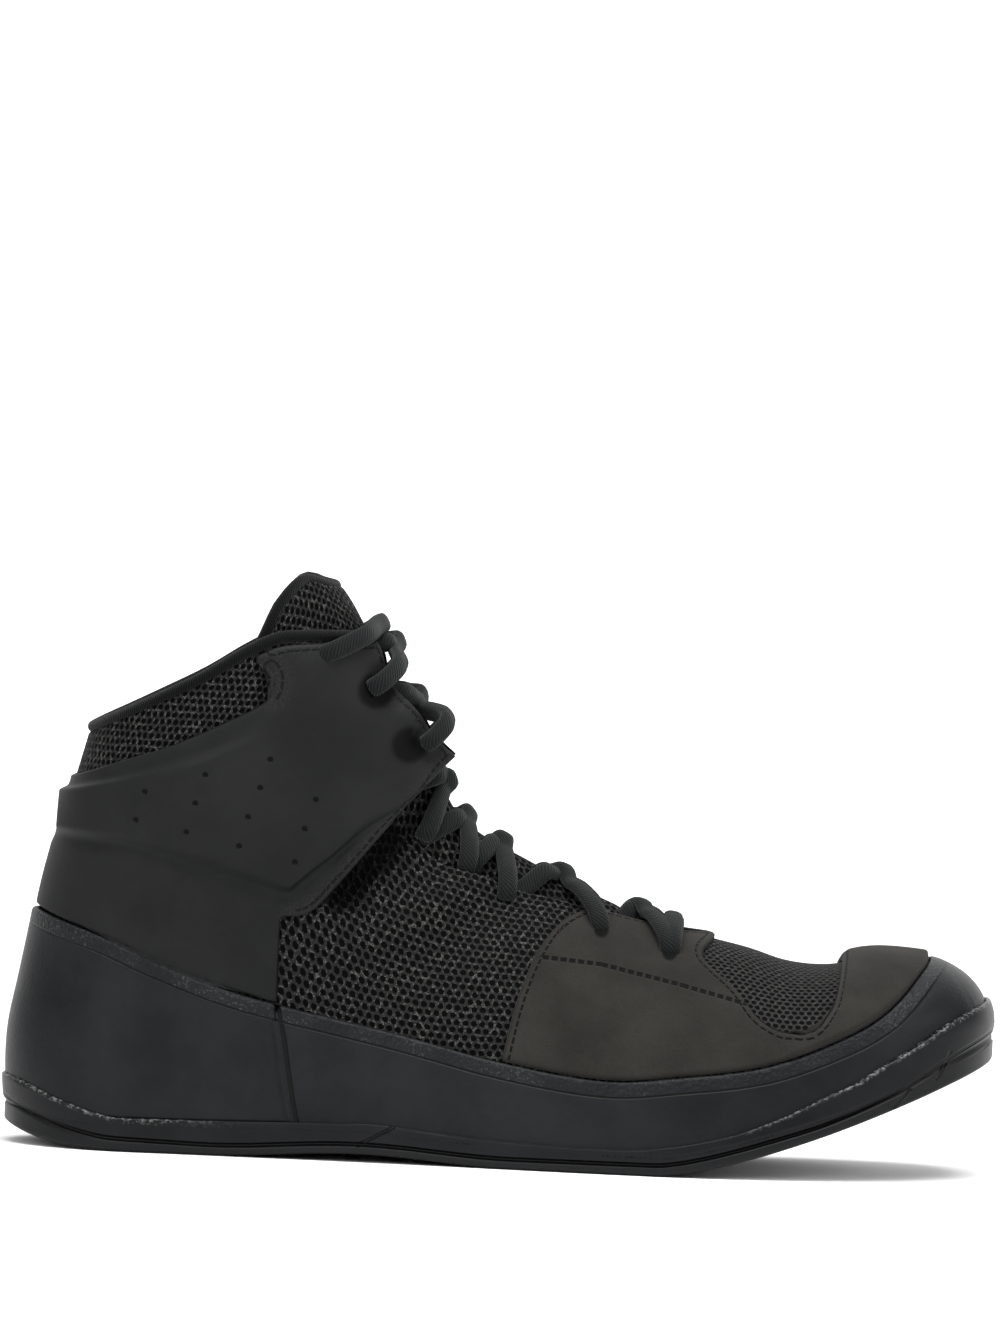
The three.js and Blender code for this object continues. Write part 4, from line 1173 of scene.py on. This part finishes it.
for side in (-1, 1):
    base, out = surface(overlay_spots[..., 0], side * overlay_spots[..., 1])
    relief = crease_relief(base)
    free_top = base[:, -1][~on_ridge]
    away, _ = nearest(base, [free_top, base[0], base[:, 0]])
    seam = nearest(base, [free_top, base[0]])
    cap_x = np.interp(base[..., 2], cap_line[:, 1], cap_line[:, 0])
    cap = smooth(base[..., 0] - cap_x, -1.5, 3.5) * smooth(base[..., 0], 212, 226)
    height = gap + (panel_thick + (cap_step - panel_thick) * cap) * fold(away, 1.3)
    cloth = np.stack([base[..., 0], side * run_length(base, [1, 2], 1)], -1) * MM
    base = base + out * relief[..., None]
    lay_grid(overlay, base + out * height[..., None], cloth, seam)
    lay_grid(overlay, base + out * gap, cloth, seam)
close_piece(overlay, "toe_overlay_skin", "toe_overlay", [nubuck_finish])

# %% [markdown]
# ## Ankle wing
# The wing is the smooth panel round the heel and ankle. Its lower front corner isn't sewn down: it
# stands off the shaft as a flap, deepest at the tip, with a shadow under it. A raised field is
# pressed into its side.

# %% Ankle wing
corner_place = form_place(np.array(18.6), 1.06, 0)


def flare(base):
    away = np.hypot(base[..., 0] - corner_place[0], base[..., 2] - corner_place[2])
    return wing_flare * (1 - smooth(away, 0.03 * length, 0.24 * length))


def within(base, outline):
    """Distance in mm inside an outline of the side view, negative outside it."""
    x, z = base[..., 0], base[..., 2]
    inside = np.zeros(x.shape, bool)
    best = np.full(x.shape, 1e9)
    for (x0, z0), (x1, z1) in zip(outline, np.roll(outline, -1, 0)):
        crosses = ((z0 > z) != (z1 > z)) & (x < (x1 - x0) * (z - z0) / (z1 - z0 + 1e-12) + x0)
        inside ^= crosses
        run_squared = (x1 - x0) ** 2 + (z1 - z0) ** 2 + 1e-9
        share = np.clip(((x - x0) * (x1 - x0) + (z - z0) * (z1 - z0)) / run_squared, 0, 1)
        best = np.minimum(best, np.hypot(x - x0 - share * (x1 - x0), z - z0 - share * (z1 - z0)))
    return np.where(inside, best, -best)


slot_halves = [
    # station, half the width in mm between the wing's two front edges
    (18.2, 5.4), (20.4, 6), (22.1, 9.4), (24, 14.5), (26, 16.7), (28.1, 17.3), (29.6, 17.5),
]


def slot_half(station):
    return follow(slot_halves, np.asarray(station, float))


edge_stations = np.linspace(18.2, 29.5, 220)
front_sweep = sweep_where(edge_stations, slot_half(edge_stations))
free_edge = trimmed(part_of(wing_edge, 0, 7, 300))
past = np.flatnonzero(free_edge[:, 1] > np.interp(free_edge[:, 0], edge_stations, front_sweep))
free_edge = free_edge[: past[0]] if len(past) else free_edge
tip_station = free_edge[-1, 0]
wing_lower = np.concatenate([
    trimmed(part_of(band_line, 0, seam_row, 300, -0.5)),
    on_last(part_of(quarter_seam, 1, 3, 60)),
    free_edge[1:],
    [(tip_station, np.interp(tip_station, edge_stations, front_sweep))],
])
collar_part = on_last(part_of(collar_line, 4.33, 8.4, 200, 2.4))
over = np.flatnonzero(collar_part[:, 1] > np.interp(collar_part[:, 0], edge_stations, front_sweep))
collar_part = collar_part[: over[0]] if len(over) else collar_part
top_station = collar_part[-1, 0]
wing_upper = np.concatenate([
    trimmed(part_of(wing_top, 0, 9, 300))[::-1],
    collar_part,
    [(top_station, np.interp(top_station, edge_stations, front_sweep))],
])
front_part = np.linspace(tip_station, top_station, 160)
wing_front = np.stack([front_part, np.interp(front_part, edge_stations, front_sweep)], -1)
wing_back = np.stack([np.linspace(wing_lower[0, 0], wing_upper[0, 0], 60), np.zeros(60)], -1)
wing_grid = fill(wing_lower, wing_upper, wing_back, wing_front, 200, 90, 900)
wing_spots = resample(wing_grid, spread("end", 170, 1.3), spread("both", 90, 1.4))
wing_spots[0, :, 1] = 0.0
pad_shape = np.array(pad_outline)


def pad_relief(base):
    """The raised field, fading out where it is open, and the dents round the lace slots."""
    x, z = base[..., 0], base[..., 2]
    open_side = smooth((x - 75.5) * 0.47 + (z - 125.4) * 0.88, -24, 3)
    inside = within(base, pad_shape)
    raised = 1.6 * pad_step * smooth(inside, -1.0, 1.4) - 0.4 * np.exp(-(((inside + 2) / 1.6) ** 2))
    raised = raised * (1 - open_side)
    for slot_x, slot_z in lace_slots:
        raised = raised - 2.6 * np.exp(-((x - slot_x) ** 2 / 20 + (z - slot_z) ** 2 / 34))
    return raised


wing = new_piece()
for side in (-1, 1):
    base, out = surface(wing_spots[..., 0], side * wing_spots[..., 1])
    relief = crease_relief(base) * (1 - smooth(flare(base), 0.5, 3))
    away, _ = nearest(base, [base[:, -1], base[-1], base[:, 0]])
    seam = nearest(base, [base[-1], base[:, 0][base[:, 0, 0] > 84], base[:, -1][base[:, -1, 0] > 74]])
    field = pad_relief(base)
    low = gap + flare(base) + relief + np.minimum(field, 0) * smooth(flare(base), 1, 4)
    high = low + np.maximum(panel_thick + field, 0.5) * fold(away, 1.1)
    cloth = np.stack([base[..., 0], base[..., 2]], -1) * MM
    lay_grid(wing, base + out * high[..., None], cloth, seam)
    lay_grid(wing, base + out * low[..., None], cloth, seam, 1)
close_piece(wing, "ankle_wing_skin", "ankle_wing", [wing_finish, lining])

# %% [markdown]
# ## Rolls and cords
# A bound edge and a lace are both tubes: a ring of points is carried along a path and flattened where
# the cord is flat. The ends are drawn in to a point so that the tube is closed.

# %% Tubes
def lay_tube(made, path, up, width, height, sides, square=2.0):
    """A closed tube, width by height in mm, with rounded ends. A square over 2 flattens its sides."""
    path, up = np.asarray(path, float), np.asarray(up, float)
    ahead = np.gradient(path, axis=0)
    ahead /= np.linalg.norm(ahead, axis=1, keepdims=True)
    across = np.cross(ahead, up)
    across /= np.linalg.norm(across, axis=1, keepdims=True)
    up = np.cross(across, ahead)
    run = np.concatenate([[0], np.cumsum(np.linalg.norm(np.diff(path, axis=0), axis=1))])
    end = np.minimum(run, run[-1] - run)
    size = fold(end, height / 2)[:, None, None]
    turn = np.linspace(0, 2 * np.pi, sides + 1)[None, :, None]
    wide, tall = (
        np.sign(part) * np.abs(part) ** (2 / square) * thick / 2
        for part, thick in ((np.cos(turn), width), (np.sin(turn), height))
    )
    places = path[:, None] + size * (across[:, None] * wide + up[:, None] * tall)
    around = (np.linspace(-0.5, 0.5, sides + 1) * 2 * width)[None] + 0 * run[:, None]
    cloth = np.stack([run[:, None] + 0 * around, around], -1) * MM
    lay_grid(made, places, cloth)


def even_path(points, step):
    points = np.asarray(points, float)
    fine = between(points, np.linspace(0, len(points) - 1, 40 * len(points)))
    along = np.concatenate([[0], np.cumsum(np.linalg.norm(np.diff(fine, axis=0), axis=1))])
    wanted = np.linspace(0, along[-1], max(int(along[-1] / step), 4))
    return np.stack([np.interp(wanted, along, fine[:, axis]) for axis in range(3)], -1)


# %% [markdown]
# The collar's rolled edge follows the collar line, from the front on the outer side round the heel to
# the front on the inner side.

# %% Collar binding
collar_half = collar_at[(collar_at[:, 1] > 0) & (collar_at[:, 1] < 0.985)]
collar_half = collar_half[np.argsort(collar_half[:, 1])]
collar_half = evenly(collar_half, 90)
ring = np.concatenate([collar_half[::-1] * [1, -1], collar_half])
binding_path, binding_out = surface(ring[:, 0], ring[:, 1])
binding = new_piece()
lay_tube(binding, binding_path - binding_out * wall / 2, binding_out, 3.8, 4.2, 16)
close_piece(binding, "collar_roll", "collar_binding", [tape_finish])

# %% [markdown]
# ## Tongue
# The tongue is a wide soft pad of the same mesh that lies under the throat and stands above the
# collar. It has a rolled tape along its edge.

# %% Tongue
tongue_low, tongue_thick = wall + 1.6, 3.0
tongue_start, tongue_run = tongue_edge[0][0], 20.1
u = spread("both", 110, 1.2)[:, None]
v = np.linspace(-1, 1, 61)[None, :]
v = np.sign(v) * (1 - (1 - np.abs(v)) ** 1.25)
edge_now = sweep_of(follow(tongue_edge, tongue_start + tongue_run * u))
tongue_sweep = 1 - np.abs(v) * (1 - edge_now)
rise_now = 0.5 - 0.5 * np.cos(np.pi * tongue_sweep)
tongue_station = tongue_start + u * (follow(tongue_top, rise_now) - tongue_start)
tongue = new_piece()
base, out = surface(tongue_station, np.where(v < 0, -1, 1) * tongue_sweep)
reach = np.abs(base[..., 1] - swept_place(tongue_station, 1.0 + 0 * tongue_sweep)[..., 1])
full = throat_reach(tongue_station) + 1
bulge = np.clip(1 - (reach / full) ** 2, 0, 1) * smooth(tongue_station, 10.2, 12)
bulge = bulge * (1 - smooth(tongue_station, 19, 24))
base = base + out * (4.6 * bulge)[..., None]
away, _ = nearest(base, [base[0], base[-1], base[:, 0], base[:, -1]])
sunk = tongue_low + tongue_thick * (0.5 - 0.5 * fold(away, 3.0))
deep = tongue_low + tongue_thick * (0.5 + 0.5 * fold(away, 3.0))
cloth = np.stack([run_length(base, [1, 2], 1), run_length(base, [0, 2], 0)], -1) * MM
lay_grid(tongue, base - out * sunk[..., None], cloth)
lay_grid(tongue, base - out * deep[..., None], cloth, finish=1)
close_piece(tongue, "tongue_pad", "tongue", [foot_knit, lining])
rim_path, rim_out = (
    np.concatenate([part[60:-1, 0], part[-1, 1:-1], part[60:-1, -1][::-1]]) for part in (base, out)
)
rim_path = rim_path - rim_out * (tongue_low + tongue_thick / 2)
tongue_roll = new_piece()
lay_tube(tongue_roll, rim_path[::2], rim_out[::2], 3.6, 3.6, 14)
close_piece(tongue_roll, "tongue_roll", None, [tape_finish])

# %% [markdown]
# ## Lace
# The lace is a plump oval cord. It crosses over the tongue from hole to hole and dips into each hole.
# Under the wing's flap the cord runs on out of sight, so that its two visible parts are two pieces.

# %% Lace rows
lace_width, lace_height = 5.8, 3.6
lace_rows = [
    # station, mm from the ridge, on the wing
    (10.58, 21.5, False), (12.03, 17.6, False), (14.08, 16.2, False), (15.2, 13.8, False),
    (16.84, 14.9, False), (22.25, 14.5, True), (25.95, 22.9, True), (28.34, 29.9, True),
]
under_flap = (19.6, 11, False)
cross_over = 2.4


def lace_place(station, reach, side, lift):
    """A place reach mm from the ridge on one side, raised over what covers the last there."""
    sweep = sweep_where(np.array([station]), np.array([max(reach, 0.4)]))
    base, out = surface(np.array([station]), side * sweep)
    return (base + out * lift)[0], out[0]


def cover(station, on_wing, place):
    if on_wing:
        return gap + panel_thick + float(flare(place))
    return (gap + panel_thick) * float(1 - smooth(station, 13, 14))


def strand(first, second, side, over):
    """A strand's path from one row's hole to the next one's on the other side, and its up directions."""
    points, ups = [], []
    stops = [(0.0, -2.2), (0.04, 1.2), (0.14, 2.4), (0.3, 2.0), (0.4, 1.8), (0.5, 1.4 + over)]
    stops += [(1 - share, lift) for share, lift in stops[-2::-1]]
    for share, lift in stops:
        station = mix(first[0], second[0], share)
        across = mix(-first[1], second[1], share)
        place, _ = lace_place(station, abs(across), 1, 0)
        row = first if share < 0.5 else second
        outer = float(slot_half(row[0]) if row[2] else throat_reach(row[0])) - 1
        on_top = cover(station, row[2], place) * float(smooth(abs(across), outer - 3, outer + 1))
        if second is not first and share > 0.5:
            under = float(smooth(across, outer - 5, outer - 1.5))
            on_top, lift = on_top * (1 - under), mix(lift, -3.2, under)
        place, out = lace_place(station, abs(across), side * (1 if across > 0 else -1), on_top + lift)
        points.append(place)
        ups.append(out)
    path = even_path(points, 1.0)
    return path, between(np.array(ups), np.linspace(0, len(ups) - 1, len(path)))


lace_low, lace_high = new_piece(), new_piece()
strands = []
for cord, group in ((lace_low, lace_rows[:5] + [under_flap]), (lace_high, lace_rows[5:])):
    for first, second in zip(group, group[1:]):
        strands += [(cord, first, second, -1, 0.0), (cord, first, second, 1, cross_over)]
strands += [(lace_low, lace_rows[0], lace_rows[0], 1, 0.0)]
strands += [(lace_high, lace_rows[-1], lace_rows[-1], 1, 0.0)]
lace_run = 0.0
for cord, *hole_to_hole in strands:
    path, ups = strand(*hole_to_hole)
    lay_tube(cord, path, ups, lace_width, lace_height, 14, square=2.4)
    lace_run += np.linalg.norm(np.diff(path, axis=0), axis=1).sum()
print("lace in sight", round(lace_run), "mm in", len(strands), "strands")
close_piece(lace_low, "lace_over_instep", "lace_instep", [lace_finish])
close_piece(lace_high, "lace_over_ankle", "lace_ankle", [lace_finish])

# %% [markdown]
# ## Sole and insole
# The outsole's side is a profile carried round the outline of the foot: a rolled lip, a groove, a
# bead and the tread's edge. The underside is closed with ribs across the foot.

# %% Rim line and groove of the sole
rim_line = [
    # x and z in mm
    (-4, 21.5), (0, 20.6), (8, 19.2), (17, 15.2), (29, 11.2), (43, 8.9), (58, 8), (89, 9.3), (106, 11.1),
    (128, 9.3), (146, 7.7), (164, 6.3), (187, 7.3), (205, 10.3), (222, 16), (248, 28.7), (262, 38.1),
    (276, 47.4), (286.5, 51.6), (296, 55),
]
groove_height = [
    # x, height over the underside in mm
    (-4, 6), (2, 6.4), (9.6, 7), (20, 5.6), (32, 4), (67, 3.1), (120, 3), (190, 3.3), (222, 3.8),
    (240, 3.6), (260, 4.75), (274, 7.4), (290, 8.4),
]


def over_groove(places):
    """Height in mm over the groove's middle."""
    x, z = places[..., 0], places[..., 2]
    return z - underside(x) - follow(groove_height, x)


# %% [markdown]
# The outline of the foot is taken off the last where it meets the sole. Rings of it, each at its own
# height and inset, make the sole's side. The top and the ribbed underside close it.

# %% Outsole
outline_stations = np.concatenate([np.linspace(0, 1, 14)[:-1] ** 1.5, np.linspace(1, 21, 190)])
foot_outer = form_place(outline_stations, 0 * outline_stations, -1.0)
foot_inner = form_place(outline_stations, 0 * outline_stations, 1.0)
outline = np.concatenate([foot_outer, foot_inner[1:-1][::-1]])
tangent = np.roll(outline, -1, 0) - np.roll(outline, 1, 0)
sideways = np.stack([tangent[:, 1], -tangent[:, 0], 0 * tangent[:, 0]], -1)
sideways /= np.linalg.norm(sideways, axis=1, keepdims=True)
if sideways[0, 0] < 0:
    sideways = -sideways
outline = np.concatenate([outline, outline[:1]])
sideways = np.concatenate([sideways, sideways[:1]])
tread_pitch, tread_depth = 11.0, 1.5
sole_profile = [(1.0, 4.2), (1.0, 2.0), (1.0, 0.3), (0.985, 0.08)]
sole_profile += [(share, 0.05) for share in np.linspace(0.96, 0.2, 26)]
sole_profile += [(0.14, 0.15), (0.09, 0.4), (0.04, 0.9), (0.01, 1.5), (0.0, 2.0), (0.0, 4.0)]
rings = []
for share, inset in sole_profile:
    ring_places = outline.copy()
    ring_places[:, 2] = mix(underside(outline[:, 0]), sole_top(outline[:, 0]), share)
    depth = inset + 0.9 * np.exp(-((over_groove(ring_places) / 0.55) ** 2)) * (inset < 1)
    rings.append(ring_places + sideways * (layers - depth)[:, None])
rings = np.stack(rings, 1)
sole = new_piece()
cloth = np.stack([rings[..., 0], rings[..., 1]], -1) * MM
lay_grid(sole, rings, cloth, (over_groove(rings), no_seam))
half_count = len(foot_outer)
for ring_index in (-1, 0):
    loop = rings[:, ring_index]
    outer_side = loop[:half_count]
    inner_side = np.concatenate([loop[:1], loop[half_count:-1][::-1], loop[half_count - 1 : half_count]])
    share = np.linspace(0, 1, 25)[None, :, None]
    across_sole = (1 - share) * outer_side[:, None] + share * inner_side[:, None]
    if ring_index == -1:
        x = across_sole[..., 0]
        rib = smooth(np.abs(((x / tread_pitch) % 1) - 0.5), 0.3, 0.42)
        margin = np.linalg.norm(inner_side - outer_side, axis=1)[:, None]
        margin = np.minimum(share, 1 - share)[..., 0] * margin
        field = smooth(margin, 5, 7) * smooth(x, 8, 14) * (1 - smooth(x, 270, 276))
        across_sole[..., 2] += tread_depth * (1 - rib) * field
    lay_grid(sole, across_sole, across_sole[..., :2] * MM, (no_seam, no_seam))

# %% [markdown]
# The rubber turns up over the foot band as a thin rim, low at the waist and high round the heel and
# the toe. It is a shell on the last, like the panels.

# %% Rim over the band
rim_columns = 260
rim_x = np.concatenate([np.linspace(2.9, 14, 60), np.linspace(14, 300, 900)[1:]])
rim_z = np.maximum(follow(rim_line, rim_x), sole_top(rim_x) + 1.0)
rim_top = evenly(trimmed(np.stack([rim_x, rim_z], -1)), rim_columns)
tip_columns = 12
rim_foot = np.stack([np.linspace(21, 0, 500), np.zeros(500)], -1)
rim_foot = evenly(rim_foot, rim_columns - tip_columns)
tip_sweeps = np.linspace(0, 1, tip_columns + 1)[1:]
rim_foot = np.concatenate([rim_foot, np.stack([0 * tip_sweeps, tip_sweeps], -1)])
share = np.concatenate([[0, 0], spread("end", 18, 1.3)])[None, :, None]
rim_spots = (1 - share) * rim_foot[:, None] + share * rim_top[:, None]
for side in (-1, 1):
    base, out = surface(rim_spots[..., 0], side * rim_spots[..., 1])
    away, _ = nearest(base, [base[:, -1]])
    low = gap + mix(counter_thick, band_thick, smooth(base[..., 0], 76, 86)) + 0.1
    low = low + 0 * away
    high = low + (layers - low - 0.02) * fold(away, 0.8)
    high = high - 0.8 * np.exp(-((over_groove(base) / 0.6) ** 2)) * smooth(away, 0.8, 2)
    high[:, 0] = low[:, 0]
    inner, outer = base + out * low[..., None], base + out * high[..., None]
    for places in (inner, outer):
        places[:, 0, 2] = sole_top(places[:, 0, 0]) - 1.0
    outer[:, 1, 2] = sole_top(outer[:, 1, 0]) - 0.8
    for places in (inner, outer):
        places[-tip_columns:, :2] = places[-tip_columns:, 2:3]
    cloth = np.stack([base[..., 0], base[..., 2]], -1) * MM
    lay_grid(sole, outer, cloth, (over_groove(outer), away))
    lay_grid(sole, inner, cloth, (no_seam, no_seam))
close_piece(sole, "outsole_rubber", "outsole", [rubber_finish])

# %% [markdown]
# The insole is a loose sheet inside the upper, which follows the sole's top from heel to toe.

# %% Insole
insole_thick = 3.5
inner_stations = np.linspace(0.4, 20.9, 120)
left_edge = form_place(inner_stations, 0 * inner_stations, -1.0)
right_edge = form_place(inner_stations, 0 * inner_stations, 1.0)
middle_line = (left_edge + right_edge) / 2
spread_across = np.linspace(-1, 1, 31)[None, :, None]
half_line = (right_edge - left_edge) / 2
reach_in = np.linalg.norm(half_line, axis=1)
shrink = np.maximum(reach_in - wall - 0.6, 0.1) / np.maximum(reach_in, 0.2)
bed = middle_line[:, None] + spread_across * (half_line * shrink[:, None])[:, None]
insole = new_piece()
away, _ = nearest(bed, [bed[:, 0], bed[:, -1], bed[0], bed[-1]])
cloth = bed[..., :2] * MM
top, bottom = bed.copy(), bed.copy()
bottom[..., 2] = sole_top(bed[..., 0]) + gap
top[..., 2] = bottom[..., 2] + insole_thick * fold(away, 1.5)
lay_grid(insole, top, cloth)
lay_grid(insole, bottom, cloth)
close_piece(insole, "insole_bed", "insole", [lining])
